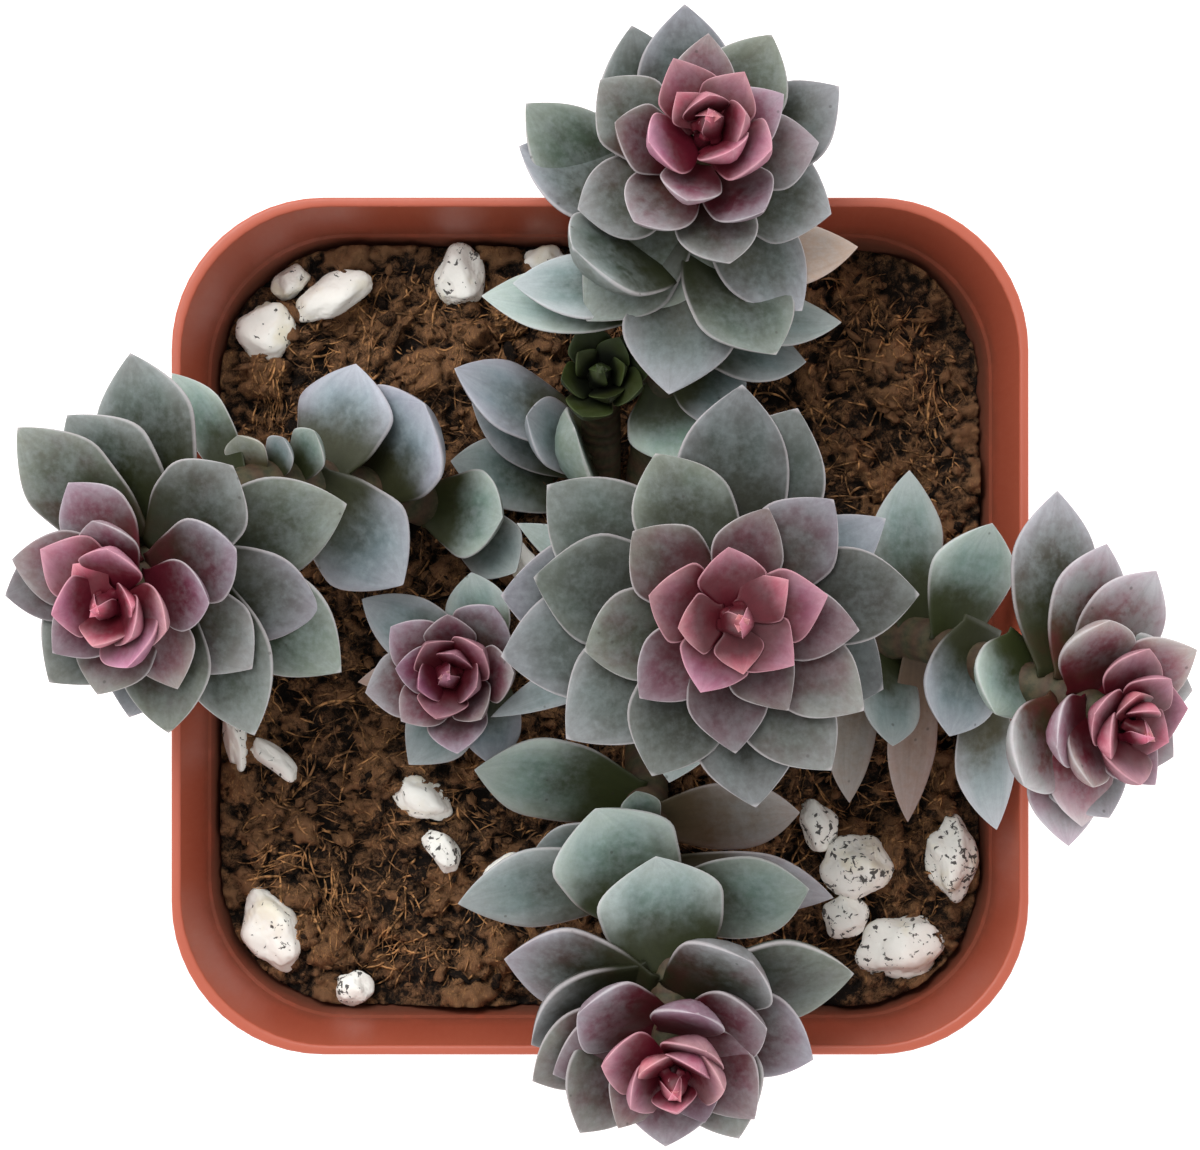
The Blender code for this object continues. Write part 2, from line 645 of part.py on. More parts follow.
def stem_leaf(line, leaf):
    """Root, tip, upward direction, width and shape shift of an older leaf along the stem."""
    distance, tip, width, *off = leaf
    root, ahead = point_along(line, distance * MM)
    tip = Vector(tip) * MM
    root += Vector(off[0]) * MM if off else (tip - root).normalized() * ROOT_OFF
    return root, tip, ahead + Vector((0, 0, STEM_FACE_UP)), width * MM, 1.0


def make_stem(name, stem, material):
    line = stem_line(stem)
    top = heart_floor(stem) + CLEARANCE if stem["heart"] else BARE_TOP * stem["size"]
    length = line_length(line)
    count = round((length - top) / STEM_STEP)
    depths = [top + (length - top) * k / count for k in range(count + 1)]
    radii = []
    for depth in depths:
        if depth < top + STEM_NECK:
            share = (depth - top) / STEM_NECK
            radii.append((STEM_TOP_RADIUS + (STEM_NECK_RADIUS - STEM_TOP_RADIUS) * share) * stem["size"])
        else:
            share = (depth - top - STEM_NECK) / (length - top - STEM_NECK)
            radii.append(STEM_NECK_RADIUS * stem["size"] * (1 - share) + STEM_RADIUS * share)
    centres = [point_along(line, depth)[0] for depth in depths]
    node = add_tube("stem_" + name, centres, radii, STEM_SIDES, material=material)
    leaves = new_collection("leaves")
    for i in range(stem["heart"], leaf_count(name, stem)):
        add_leaf("leaf", *rosette_leaf(name, stem, line, i), leaves)
    for leaf in STEM_LEAVES[name]:
        add_leaf("leaf", *stem_leaf(line, leaf), leaves)
    apply_boolean(node, "UNION", leaves, "MANIFOLD")
    keep_largest(node.data)
    shade_smooth(node)


def make_heart(name, stem, material):
    line = stem_line(stem)
    floor = heart_floor(stem)
    size = stem["size"]
    depths = (HEART_TOP * size, floor / 2, floor)
    radii = (HEART_CORE_TOP * size, HEART_CORE * size, HEART_CORE * size)
    centres = [point_along(line, depth)[0] for depth in depths]
    node = add_tube("heart_" + name, centres, radii, STEM_SIDES, material=material)
    leaves = new_collection("leaves")
    for i in range(stem["heart"]):
        add_leaf("leaf", *rosette_leaf(name, stem, line, i), leaves)
    apply_boolean(node, "UNION", leaves, "MANIFOLD")
    keep_largest(node.data)
    shade_smooth(node)


def main():
    clear_scene()
    terracotta = make_material("terracotta plastic", srgb(190, 84, 56), 0.45)
    earth = make_material("potting soil", srgb(62, 42, 30), 0.95)
    perlite = make_material("perlite", srgb(232, 230, 220), 0.9)
    leaf_green = make_material("grey-green leaf", srgb(118, 132, 124), 0.6)
    leaf_dark = make_material("shaded leaf", srgb(72, 88, 62), 0.6)
    leaf_pink = make_material("pink heart leaf", srgb(184, 96, 108), 0.55)

    make_pot(terracotta)
    soil = make_soil(earth)
    cutters = new_collection("holes and pockets")
    for stem in STEMS.values():
        foot, above = Vector(stem["path"][0]) * MM, Vector(stem["path"][1]) * MM
        way = (above - foot).normalized()
        ends = [foot - way * HOLE_BELOW, above + way * HOLE_ABOVE]
        add_tube("hole", ends, [STEM_RADIUS + HOLE_GAP] * 2, HOLE_SIDES, cutters)
    for chip in CHIPS:
        add_object("pocket", *chip_points(chip, POCKET_GAP), None, cutters)
    apply_boolean(soil, "DIFFERENCE", cutters)
    keep_largest(soil.data)
    shade_smooth(soil)
    for number, chip in enumerate(CHIPS, 1):
        shade_smooth(add_object(f"perlite_{number:02d}", *chip_points(chip), perlite))

    for name, stem in STEMS.items():
        make_stem(name, stem, leaf_dark if name == "shade" else leaf_green)
        if stem["heart"]:
            make_heart(name, stem, leaf_pink)


main()
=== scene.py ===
"""Finish of the potted cremnosedum: a leafy succulent in a square terracotta-coloured pot.

Metres, +Z up. The pot stands on z = 0 with its middle over the origin, +Y is its far side.
Sizes that are written in millimetres are multiplied by MM.
"""
import math
import random
from functools import cache

import bmesh
import bpy
import numpy as np
from bpy.props import FloatProperty, FloatVectorProperty, IntProperty, PointerProperty
from mathutils import Matrix, Vector, noise


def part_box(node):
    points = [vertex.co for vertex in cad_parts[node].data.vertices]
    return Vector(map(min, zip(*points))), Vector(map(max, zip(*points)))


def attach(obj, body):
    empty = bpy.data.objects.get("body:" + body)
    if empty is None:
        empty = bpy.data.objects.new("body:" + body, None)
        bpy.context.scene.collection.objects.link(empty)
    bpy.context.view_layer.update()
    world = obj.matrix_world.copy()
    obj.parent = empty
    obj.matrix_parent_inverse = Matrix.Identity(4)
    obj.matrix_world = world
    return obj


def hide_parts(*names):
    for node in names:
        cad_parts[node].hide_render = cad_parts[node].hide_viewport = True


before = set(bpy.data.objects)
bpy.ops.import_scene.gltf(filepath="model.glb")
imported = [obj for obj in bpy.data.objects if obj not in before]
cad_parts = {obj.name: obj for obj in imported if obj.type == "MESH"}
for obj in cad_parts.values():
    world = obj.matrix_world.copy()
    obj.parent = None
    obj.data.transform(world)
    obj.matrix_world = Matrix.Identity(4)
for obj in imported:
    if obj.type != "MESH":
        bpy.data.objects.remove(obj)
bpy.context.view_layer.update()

bl_info = {
    "name": "Potted cremnosedum",
    "version": (1, 0, 0),
    "blender": (4, 5, 0),
    "location": "3D View > Sidebar > Cremnosedum",
    "description": "Makes the fine leaves, soil, perlite and pot of a potted cremnosedum",
    "category": "Object",
}

MM = 0.001

# Pot: the middle lines of its section follow the CAD pot, from its box.
POT_LOW, POT_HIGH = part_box("pot")
POT_WIDTH = POT_HIGH[0] - POT_LOW[0]
POT_HEIGHT = POT_HIGH[2]
POT_CORNER = 13.5 * MM
POT_BASE_WIDTH = 54.0 * MM
LIP = 0.85 * MM
LIP_ROUND = 0.3 * MM
COLLAR_HEIGHT = 11.0 * MM
COLLAR_STEP_OUT = 1.4 * MM
COLLAR_TAPER = 0.5 * MM
INNER_STEP_DEPTH = 9.5 * MM
INNER_STEP_IN = 0.25 * MM
INNER_STEP_RISE = 0.4 * MM
WALL = 1.1 * MM
FLOOR = 1.5 * MM
BASE_ROUND = 1.0 * MM
STEP_ROUND = 0.1 * MM
# How much the pot's edges are lightened: on the lip and along the inner step, partly wear and partly a
# painted highlight.
STEP_WORN_AND_HIGHLIGHT = 0.6
LIP_WORN_AND_HIGHLIGHT = 0.75
FILLET_STEPS = 4
CORNER_POINTS = 14
DRAIN_DIAMETER = 6.0 * MM
DRAIN_OFFSET = 15.0 * MM
DRAIN_SIDES = 40

# Soil: its lumps, clods and grain are given by their size and their height.
SOIL_LEVEL = 54.0 * MM
SOIL_LUMPS = ((9.0 * MM, 2.4 * MM), (4.4 * MM, 2.0 * MM))
SOIL_CLODS = ((3.6 * MM, 1.5 * MM), (1.5 * MM, 0.6 * MM))
SOIL_GRAIN = (2.0 * MM, 0.8 * MM)
# How the grain's finer noise weakens, how much finer it gets, and how many times.
GRAIN_FRACTAL = (0.8, 2.2, 5)
CLOD_EDGE = 0.35
CLOD_SWAY = 1.1 * MM
CLOD_UNEVEN = 0.35
SOIL_CELLS = 290
SOIL_SQUARING = 4
CLEARANCE = 0.3 * MM
# Loose pieces keep this far from the soil's edge. Where two values are given, they are the least
# and the most.
LOOSE_MARGIN = 2 * MM
CRUMB_SIZES = (0.5 * MM, 1.9 * MM)
# A crumb's length, width and height, as shares of its size.
CRUMB_SHAPE = ((0.9, 1.6), (0.4, 0.8), (0.3, 0.7))
CRUMB_ROUGHNESS = 0.7
CRUMB_LEVEL = 2
CRUMB_SEED = 11
FIBRE_SEED = 5
FIBRE_LENGTHS = (0.8 * MM, 5.5 * MM)
FIBRE_RADII = (0.045 * MM, 0.15 * MM)
FIBRE_STEPS = 6
FIBRE_CURL = 1.8
FIBRE_COMBED = 6.0 * MM
FIBRE_LOWEST = -0.5 * MM
# How far fibres swerve from the way they are combed, in radians, and how high they rise.
FIBRE_SWERVE = 0.7
BUNDLE_SWERVE = 0.2
FIBRE_RISE = 0.3 * MM
BUNDLE_RISE = 0.5 * MM

# Bundles of coir in the soil: middle in mm, direction in degrees, length and width in mm, fibres.
TUFTS = (
    (-30.2, 20.6, 82, 7.5, 2.4, 30),
    (-15.2, 33.0, 78, 8.0, 2.0, 30),
    (-25.5, 26.5, 35, 5.0, 2.4, 18),
    (-21.0, 15.5, 60, 5.5, 2.0, 18),
    (-9.0, 28.0, 20, 5.0, 3.0, 18),
    (-31.0, -21.0, 20, 6.0, 3.0, 26),
    (-24.5, -25.5, 100, 6.5, 2.2, 22),
    (-19.0, -30.0, 50, 5.0, 2.5, 18),
    (28.0, 28.0, 60, 6.0, 2.6, 18),
    (31.0, 19.0, 110, 6.0, 2.2, 18),
    (24.5, -23.5, 140, 4.0, 2.0, 14),
    (20.0, -30.0, 20, 6.0, 2.6, 22),
    (30.0, -14.0, 75, 5.0, 2.0, 14),
)

# Perlite chips: centre, length, width and height in mm, turn in degrees, share of it flecked.
CHIPS = (
    (-30.2, 26.9, 54.6, 5.0, 4.8, 4.2, -30.0, 0.10),
    (-28.2, 31.3, 54.6, 3.2, 2.6, 3.0, 40.0, 0.05),
    (-24.2, 30.2, 55.2, 6.6, 4.0, 3.6, 27.0, 0.08),
    (-12.8, 31.8, 54.8, 4.2, 5.4, 4.0, 0.0, 0.30),
    (-5.2, 33.4, 54.6, 3.4, 2.2, 2.6, 10.0, 0.20),
    (-7.0, 5.6, 55.0, 2.2, 3.4, 2.6, 20.0, 0.02),
    (-33.2, -10.2, 54.8, 2.0, 5.2, 3.0, 10.0, 0.05),
    (-29.6, -12.2, 55.0, 5.2, 2.0, 2.6, -40.0, 0.10),
    (-30.0, -27.6, 55.0, 4.4, 7.0, 4.2, 30.0, 0.12),
    (-22.4, -33.0, 54.6, 3.2, 2.8, 2.6, 0.0, 0.25),
    (-14.4, -20.4, 54.6, 2.6, 4.2, 3.0, 30.0, 0.30),
    (-8.6, -22.8, 54.8, 4.4, 3.4, 3.0, 40.0, 0.15),
    (19.8, -18.2, 54.8, 3.4, 4.4, 3.4, 10.0, 0.35),
    (23.3, -21.6, 55.2, 5.6, 5.2, 4.6, 30.0, 0.50),
    (22.5, -26.6, 54.8, 3.6, 3.8, 3.0, 20.0, 0.35),
    (31.9, -21.2, 55.2, 4.3, 7.0, 4.6, 8.0, 0.50),
    (27.4, -29.4, 55.0, 7.2, 5.6, 4.4, 15.0, 0.35),
    (-16.2, -15.6, 54.8, 5.0, 3.6, 3.0, -35.0, 0.00),
)
# A chip is a ball pushed in and out by noise, with pits of two sizes, and cut by flats, whose
# edges are crisper the larger the power is. It swells by what the cuts take.
CHIP_LEVEL = 5
CHIP_ROUGHNESS = 0.22
CHIP_SEED = 7
CHIP_PITS = ((5.0, 0.03), (11.0, 0.02))
CHIP_FLATS = 11
CHIP_FLAT_DEPTHS = (0.72, 0.98)
CHIP_CRISP = 26
CHIP_SWELL = 1.14

# Leaves grow from the tip of each stem down, each turned from the last by the same angle. A leaf's
# length follows from its number by a power.
LEAF_LENGTH = 1.05 * MM
LEAF_GROWTH = 0.78
# The youngest leaves close over each other as a bud: how many degrees they open from the stem,
# and how much longer they are than by the rule, so that their tips meet.
BUD_OPEN = (-20.0, -20.0, -18.0, -14.0, -6.0)
BUD_REACH = (1.9, 1.3, 1.05, 0.95, 0.85)
# How many degrees the other leaves open from the stem, by a power of their number.
OPEN_FIRST = 25.0
OPEN_RANGE = 62.0
OPEN_POWER = 0.75
OPEN_LEAVES = 33
OPEN_MOST = 1.1
# Where leaves grow: how far down the stem from each other, and how far off its middle.
SPACING = 0.11 * MM
BASE_RADIUS = 0.85 * MM
BASE_GROWTH = 0.06 * MM
BASE_MOST = 2.4 * MM
LEAF_WIDTH_RATIO = 0.60
LEAF_WIDTH_EXTRA = 1.0 * MM
LEAF_SAG = 0.05
LEAF_SUNK = 0.6 * MM
# A young leaf is widest nearer its foot than a grown one, by this share.
YOUNG_SHIFT = 0.66
GROWN = 20
# The oldest leaves of a rosette and those along a stem roll towards facing up.
ROSETTE_FACE_UP = 0.9
STEM_FACE_UP = 0.8

# The blade: where it is widest, its narrow foot, how its sides close on the tip, and its section.
WIDEST = 0.56
FOOT_SPREAD = 0.52
# These four are given for old and for young leaves. A ridge and a slope of 1 and 1 make a keel
# with a sharp ridge and flat slopes.
TIP_POWERS = (1.9, 1.05)
CUPS = (0.05, 0.10)
KEEL_RIDGE = (1.6, 1.15)
KEEL_SLOPE = (0.72, 0.9)
KEEL = 0.26
KEEL_FOOT = 0.18
KEEL_POWER = 2.4
CROWN = 0.10
# How leaves differ from each other: twist in degrees, cup and crown as shares of the usual, the
# sideways bend as a share of their length, and the waves of their edges.
LEAF_TWIST = 5
CUP_VARIES = (0.6, 1.3)
CROWN_VARIES = (0.7, 1.3)
LEAF_BEND = 0.035
LEAF_WAVE = 0.02
LEAF_STATIONS = 24
STATION_CROWDING = 1.35
LEAF_ROUND = 22
LEAF_ANGLES = 2 * math.pi * np.arange(LEAF_ROUND) / LEAF_ROUND

# How dark and how pale each rosette's leaves are, and how far they go from mauve to green.
# The dark and pale limits are painted light and shade: the centre rosette, which faces up, and the
# shaded one are darkened, and the right one, turned to the side, is lightened.
STEM_TONES = {
    "centre": (0.04, 0.30, 0.95),
    "left": (0.20, 0.48, 0.75),
    "top": (0.26, 0.54, 1.00),
    "right": (0.56, 0.95, 0.70),
    "bottom": (0.20, 0.46, 0.65),
    "side": (0.30, 0.60, 0.90),
    "shade": (0.12, 0.32, 1.00),
}
# The same for the leaves along the stems, which are all green.
STEM_LEAF_TONES = (0.40, 0.74)
# What a leaf's colour is multiplied by: at tones 0 and 1, and for its own hue, which follows from
# its tone too, so that neighbours differ.
LEAF_DARKEST = (0.18, 0.18, 0.18)
LEAF_PALEST = (1.58, 1.63, 1.67)
LEAF_GREENEST = (0.92, 1.06, 0.84)
LEAF_BLUEST = (1.03, 0.98, 1.12)
HUE_TURNS = 29.0
SPECK_COLOUR = (0.03, 0.025, 0.02)

# How dark and how pale a heart's leaves are, and how far its youngest are from coral to mauve.
HEART_TONES = {
    "centre": (0.34, 0.54, 0.0),
    "left": (0.48, 0.74, 0.0),
    "top": (0.42, 0.64, 0.0),
    "right": (0.46, 0.70, 0.0),
    "bottom": (0.48, 0.74, 0.0),
    "side": (0.26, 0.44, 0.5),
}

# A heart's leaves and its bud's leaves are this much broader than by the rule.
HEART_BREADTH = 1.22
BUD_BREADTH = 0.92
# The core that a heart's leaves grow from: its radius and that of its tip, how far below the
# stem's tip it starts, and how far below the heart's last leaf it ends.
HEART_CORE = 1.15 * MM
HEART_CORE_TOP = 0.46 * MM
HEART_TOP = 0.5 * MM
HEART_BASE = 0.8 * MM
# Where a stem without a heart starts, and how far a heart's last leaf is from the next.
BARE_TOP = 1.5 * MM
HEART_GAP = 1.6 * MM

# Bare stems: radius at the soil, at the top and at the neck this far below the top, with knots.
STEM_RADIUS = 1.9 * MM
STEM_TOP_RADIUS = 1.5 * MM
STEM_NECK_RADIUS = 2.3 * MM
STEM_NECK = 5.0 * MM
STEM_STEP = 0.7 * MM
STEM_ROUND = 20
STEM_KNOTS = 0.06
STEM_KNOT_LENGTH = 1.6 * MM
# A stem leaf's root is this far off its stem's middle. Each stem's end bends over this length.
ROOT_OFF = 1.15 * MM
BENT_END = 12.0 * MM
BENT_STEPS = 12

# Each stem: the path of its centre line from the soil up, its tip, how many degrees it leans
# towards +X and +Y there and bends for each mm below, its leaves' size, first angle, turn from
# leaf to leaf, growth in spacing, how many are the heart, how much broader the old ones are, and
# how many leaves its rosette has where TIPS_SEEN doesn't say it.
STEMS = {
    "centre": {
        "path": ((10.0, 1.0, 47.0), (10.6, 0.9, 60.0), (10.4, 1.0, 70.0)),
        "tip": (11.3, 0.5, 92.0), "lean": (11.0, -8.0), "bend": (-0.8, 0.6),
        "size": 1.0, "first": 151.0, "turn": 139.1, "spacing": 0.005, "heart": 13, "breadth": 1.0,
    },
    "left": {
        "path": ((-8.5, 8.5, 47.0), (-12.0, 9.8, 56.0), (-18.0, 11.5, 62.0), (-25.0, 12.8, 67.0),
                 (-31.0, 12.0, 71.0)),
        "tip": (-41.9, 1.8, 84.0), "lean": (-19.7, -14.0), "bend": (-1.4, -2.8),
        "size": 0.9, "first": 134.5, "turn": 137.6, "spacing": 0.007, "heart": 14, "breadth": 1.06,
    },
    "top": {
        "path": ((3.5, 8.0, 47.0), (4.2, 13.0, 56.5), (5.4, 20.0, 63.0), (6.6, 27.0, 68.0)),
        "tip": (9.2, 42.1, 86.0), "lean": (7.0, 20.0), "bend": (-0.6, -0.4),
        "size": 0.92, "first": 248.9, "turn": 138.8, "spacing": 0.012, "heart": 13, "breadth": 1.0,
    },
    "right": {
        "path": ((14.5, -3.0, 47.0), (17.0, -2.5, 56.0), (23.0, -1.5, 62.0), (28.5, -1.2, 66.5)),
        "tip": (45.8, -8.9, 80.0), "lean": (35.6, -24.8), "bend": (2.7, 0.3),
        "size": 0.85, "first": 66.0, "turn": -138.6, "spacing": 0.008, "heart": 14, "breadth": 1.18,
    },
    "bottom": {
        "path": ((4.5, -7.0, 47.0), (4.2, -11.0, 56.0), (4.2, -18.0, 62.5), (4.6, -24.0, 66.5)),
        "tip": (6.3, -39.0, 80.0), "lean": (4.0, -32.0), "bend": (-0.7, -4.0),
        "size": 0.9, "first": 50.6, "turn": -137.3, "spacing": 0.008, "heart": 12, "breadth": 1.2,
    },
    "side": {
        "path": ((-6.5, -2.0, 47.0), (-9.5, -3.2, 57.0)),
        "tip": (-13.2, -4.3, 73.0), "lean": (-5.0, -3.0), "bend": (-2.0, 0.0),
        "size": 0.78, "first": 100.0, "turn": 137.5, "spacing": 0.005, "leaves": 20, "heart": 11,
        "breadth": 1.0,
    },
    "shade": {
        "path": ((-0.5, 10.5, 47.0), (0.0, 12.5, 55.0)),
        "tip": (0.1, 22.1, 69.0), "lean": (0.0, 10.0), "bend": (0.0, 4.0),
        "size": 0.76, "first": 40.0, "turn": 137.5, "spacing": 0.005, "leaves": 14, "heart": 0,
        "breadth": 1.0,
    },
}

# Where the tips of each rosette's leaves are seen from VIEW_HEIGHT, straight above the middle of
# the pot: x and y in mm at the rim's level, youngest first. The few younger still follow the rule.
VIEW_HEIGHT = 466.0 * MM
FIRST_SEEN = 5
TIPS_SEEN = {
    "centre": (
        (12.7, -4.3), (16.7, 4.1), (6.9, -0.2), (17.2, -3.5), (11.4, 7.0), (8.9, -5.9),
        (20.2, 2.7), (4.3, 2.7), (16.7, -7.5), (14.9, 10.5), (23.0, -0.4), (3.5, -6.4),
        (12.0, -11.3), (2.9, 8.4), (23.4, -7.5), (20.7, 11.2), (-1.4, -2.2), (20.5, -12.8),
        (28.3, 2.8), (4.6, -13.3), (4.9, 15.3), (13.8, -16.1), (-3.0, -10.0), (-5.9, 4.3),
        (12.6, 21.4), (-4.7, 12.5), (-8.8, -2.7), (17.5, 19.3), (-8.8, 2.7), (25.1, -5.6),
    ),
    "left": (
        (-41.5, 1.6), (-46.7, 5.5), (-45.0, -1.8), (-41.5, -1.0), (-48.6, 1.0), (-43.7, 6.8),
        (-38.4, -0.4), (-49.6, 6.8), (-41.9, -3.7), (-45.0, 9.3), (-48.5, -2.4), (-34.6, 2.0),
        (-37.4, -5.6), (-52.1, 5.9), (-47.1, 12.7), (-44.5, -6.1), (-32.2, 6.8), (-52.7, 2.7),
        (-30.8, -3.8), (-38.2, -9.5), (-51.6, 17.6), (-32.5, 14.2), (-24.7, 1.2), (-48.8, -5.0),
        (-22.4, 10.8), (-30.6, -9.7), (-47.2, 18.7), (-41.7, -8.1), (-22.9, -4.1), (-41.6, 24.2),
    ),
    "top": (
        (6.8, 47.3), (9.7, 47.0), (12.9, 45.4), (11.8, 42.2), (12.8, 49.1), (6.5, 50.3),
        (4.3, 42.9), (15.2, 42.2), (7.7, 37.7), (16.3, 47.1), (9.6, 52.5), (1.3, 44.6),
        (14.5, 36.7), (3.0, 35.8), (19.4, 42.8), (11.5, 32.1), (0.0, 48.4), (-2.0, 36.9),
        (15.2, 52.4), (20.5, 36.5), (5.0, 27.7), (21.2, 47.8), (17.9, 27.9), (-1.2, 27.0),
        (7.5, 55.1), (2.8, 53.2), (-7.2, 42.5), (15.6, 24.0), (6.1, 20.5), (-6.6, 46.3),
        (-2.4, 33.5),
    ),
    "right": (
        (49.6, -7.6), (47.9, -6.0), (50.4, -10.3), (45.2, -11.3), (43.8, -7.8), (50.6, -4.7),
        (47.9, -14.1), (52.1, -7.3), (48.7, -2.0), (49.2, -14.1), (43.7, -14.3), (40.5, -10.8),
        (52.9, -2.1), (42.7, -17.8), (45.2, 0.5), (50.8, -11.6), (41.5, -19.5), (49.3, 4.9),
        (37.6, -14.2), (44.9, 7.3), (45.1, -17.0), (52.5, -5.7), (40.5, 12.0),
    ),
    "bottom": (
        (6.8, -43.1), (3.7, -39.5), (8.8, -39.5), (2.7, -42.8), (11.0, -41.2), (9.4, -37.7),
        (0.1, -39.0), (9.3, -44.0), (1.6, -44.5), (14.0, -39.9), (8.7, -34.4), (13.7, -43.7),
        (-4.2, -39.7), (14.8, -35.7), (-2.0, -34.4), (5.8, -46.1), (-6.0, -40.3), (-1.8, -44.9),
        (18.9, -38.4), (12.3, -45.4), (13.5, -29.8), (-8.5, -29.5), (22.5, -30.8), (-6.1, -37.1),
    ),
}

# Older leaves along the stems: distance from the stem's tip, leaf tip and width, all in mm, how
# dry the leaf is, and for one that lies over its stem how far its root is off the centre line.
STEM_LEAVES = {
    "centre": (
        (14.0, (24.7, 9.3, 76.0), 7.0, 0.0),
        (18.0, (-7.3, 9.0, 71.0), 4.6, 0.0),
        (20.0, (-9.6, -8.0, 70.0), 4.0, 0.0),
        (16.0, (6.0, -13.6, 74.0), 8.0, 0.0),
    ),
    "left": (
        (33.0, (-15.4, 19.5, 70.0), 11.6, 0.0),
        (28.0, (-21.6, 23.2, 66.5), 10.0, 0.0),
        (20.0, (-37.6, 22.2, 69.5), 5.0, 0.0),
        (39.0, (-8.6, 9.6, 67.0), 8.0, 0.0),
        (43.0, (-7.5, 4.8, 63.0), 6.0, 0.0),
        (36.0, (-17.7, 15.6, 66.0), 3.0, 0.0),
        (26.0, (-17.3, 3.6, 69.0), 10.2, 0.0),
        (23.0, (-27.6, 16.4, 73.0), 3.6, 0.0),
        (22.0, (-31.6, 16.6, 72.5), 4.2, 0.3),
        (25.0, (-24.9, 17.0, 73.0), 4.4, 0.0),
    ),
    "top": (
        (23.0, (-10.4, 28.9, 70.5), 7.4, 0.0),
        (21.0, (-7.6, 29.8, 73.0), 7.4, 0.0),
        (23.0, (21.4, 26.9, 66.0), 6.6, 0.0),
        (18.5, (22.6, 33.2, 70.5), 7.4, 0.8),
        (27.0, (18.3, 23.4, 65.5), 7.0, 0.0),
        (33.0, (6.6, 14.2, 66.0), 8.4, 0.0, (0.4, 0.0, 1.6)),
        (30.0, (12.8, 19.4, 66.5), 7.6, 0.0),
    ),
    "right": (
        (24.0, (27.4, 13.8, 66.0), 7.2, 0.0),
        (20.5, (34.3, 9.0, 71.0), 8.6, 0.0),
        (27.0, (25.8, -10.6, 68.0), 6.2, 0.0),
        (19.0, (30.4, -9.6, 73.0), 8.6, 0.0, (1.6, 2.2, 1.8)),
        (14.0, (34.0, -7.6, 78.0), 8.0, 0.0, (1.4, 2.4, 2.0)),
        (16.0, (35.0, -18.0, 67.5), 6.0, 0.1),
        (29.0, (22.4, -15.9, 60.5), 5.0, 0.5),
        (24.0, (27.6, -17.6, 61.0), 5.0, 0.7),
    ),
    "bottom": (
        (31.0, (-11.2, -12.8, 64.0), 9.0, 0.0),
        (29.0, (17.8, -16.6, 64.0), 7.6, 0.45),
        (24.0, (20.8, -24.2, 64.0), 6.6, 0.2),
        (23.0, (-12.6, -24.6, 66.0), 8.6, 0.0),
        (20.0, (18.3, -23.0, 71.0), 8.6, 0.0),
        (19.0, (-0.4, -15.8, 75.0), 11.4, 0.0, (-1.0, 0.0, 1.4)),
        (12.0, (4.8, -19.8, 77.5), 11.2, 0.0, (0.0, 0.0, 1.6)),
        (27.0, (-6.2, -20.6, 61.0), 5.6, 0.0),
        (27.0, (3.2, -14.6, 66.5), 3.6, 0.0),
    ),
    "side": (
        (13.0, (-21.6, -5.0, 63.0), 3.6, 0.9),
        (11.0, (-17.1, -12.4, 62.0), 6.4, 0.0),
        (12.0, (-9.8, -12.4, 62.0), 5.6, 0.0),
        (11.0, (-21.2, 2.4, 64.0), 6.0, 0.0),
        (11.5, (-11.5, 4.8, 63.0), 6.0, 0.0),
    ),
    "shade": (
        (11.0, (-12.9, 22.8, 66.0), 7.4, 0.0),
        (14.5, (-11.5, 20.0, 60.5), 5.6, 0.0),
        (13.0, (-6.5, 18.6, 66.0), 7.0, 0.0),
        (15.0, (-2.2, 17.4, 69.0), 8.6, 0.0),
        (18.0, (-13.4, 14.8, 61.0), 7.0, 0.0),
    ),
}

# The stage, in metres, and the camera's sensor in millimetres.
FLOOR_REACH = 1.5
SENSOR_WIDTH = 36
CLIP_START = 0.01
LAMP_SIZE = 0.5
LAMP_PLACE = (-0.25, 0.36, 0.70)
LAMP_AIM = (0, 0, 0.06)
WHITE = (1.0, 1.0, 1.0)

# Values that each point of a piece carries for its finish.
SURFACE_VALUES = ("along", "across", "under", "age", "tone", "dry")


def blend(limits, share):
    """The value this share of the way from the first limit to the second."""
    first, second = limits
    return first + (second - first) * share


def srgb(red, green, blue):
    """A colour given in display values, as the linear colour that a material takes."""
    return tuple(
        (v / 255 / 12.92) if v <= 10 else ((v / 255 + 0.055) / 1.055) ** 2.4
        for v in (red, green, blue)
    )


def colour_property(name, description, *display):
    return FloatVectorProperty(
        name=name, description=description, subtype="COLOR", size=3, min=0.0, max=1.0,
        default=srgb(*display),
    )


def share_property(name, description, default):
    return FloatProperty(
        name=name, description=description, subtype="FACTOR", min=0.0, max=1.0, default=default
    )


def count_property(name, description, default, most):
    return IntProperty(name=name, description=description, default=default, min=0, max=most)


def number_property(name, description, default, low, high):
    return FloatProperty(name=name, description=description, default=default, min=low, max=high)


class CREMNO_PG_pot(bpy.types.PropertyGroup):
    """Finish of the pot."""

    plastic: colour_property("Plastic", "Colour of the moulded plastic", 154, 59, 40)
    # The scuffed colour marks the scuffs up the wall, and on the lip and inner step it is partly wear
    # and partly a painted highlight.
    worn_and_highlight: colour_property("Worn", "Colour where the plastic is scuffed", 178, 90, 66)
    dusty: colour_property("Dusty", "Colour of the soil dust inside the pot", 100, 60, 42)
    roughness: share_property("Roughness", "Roughness of the plastic", 0.42)
    scuffs: share_property("Scuffs", "How much of the wall is scuffed", 0.25)


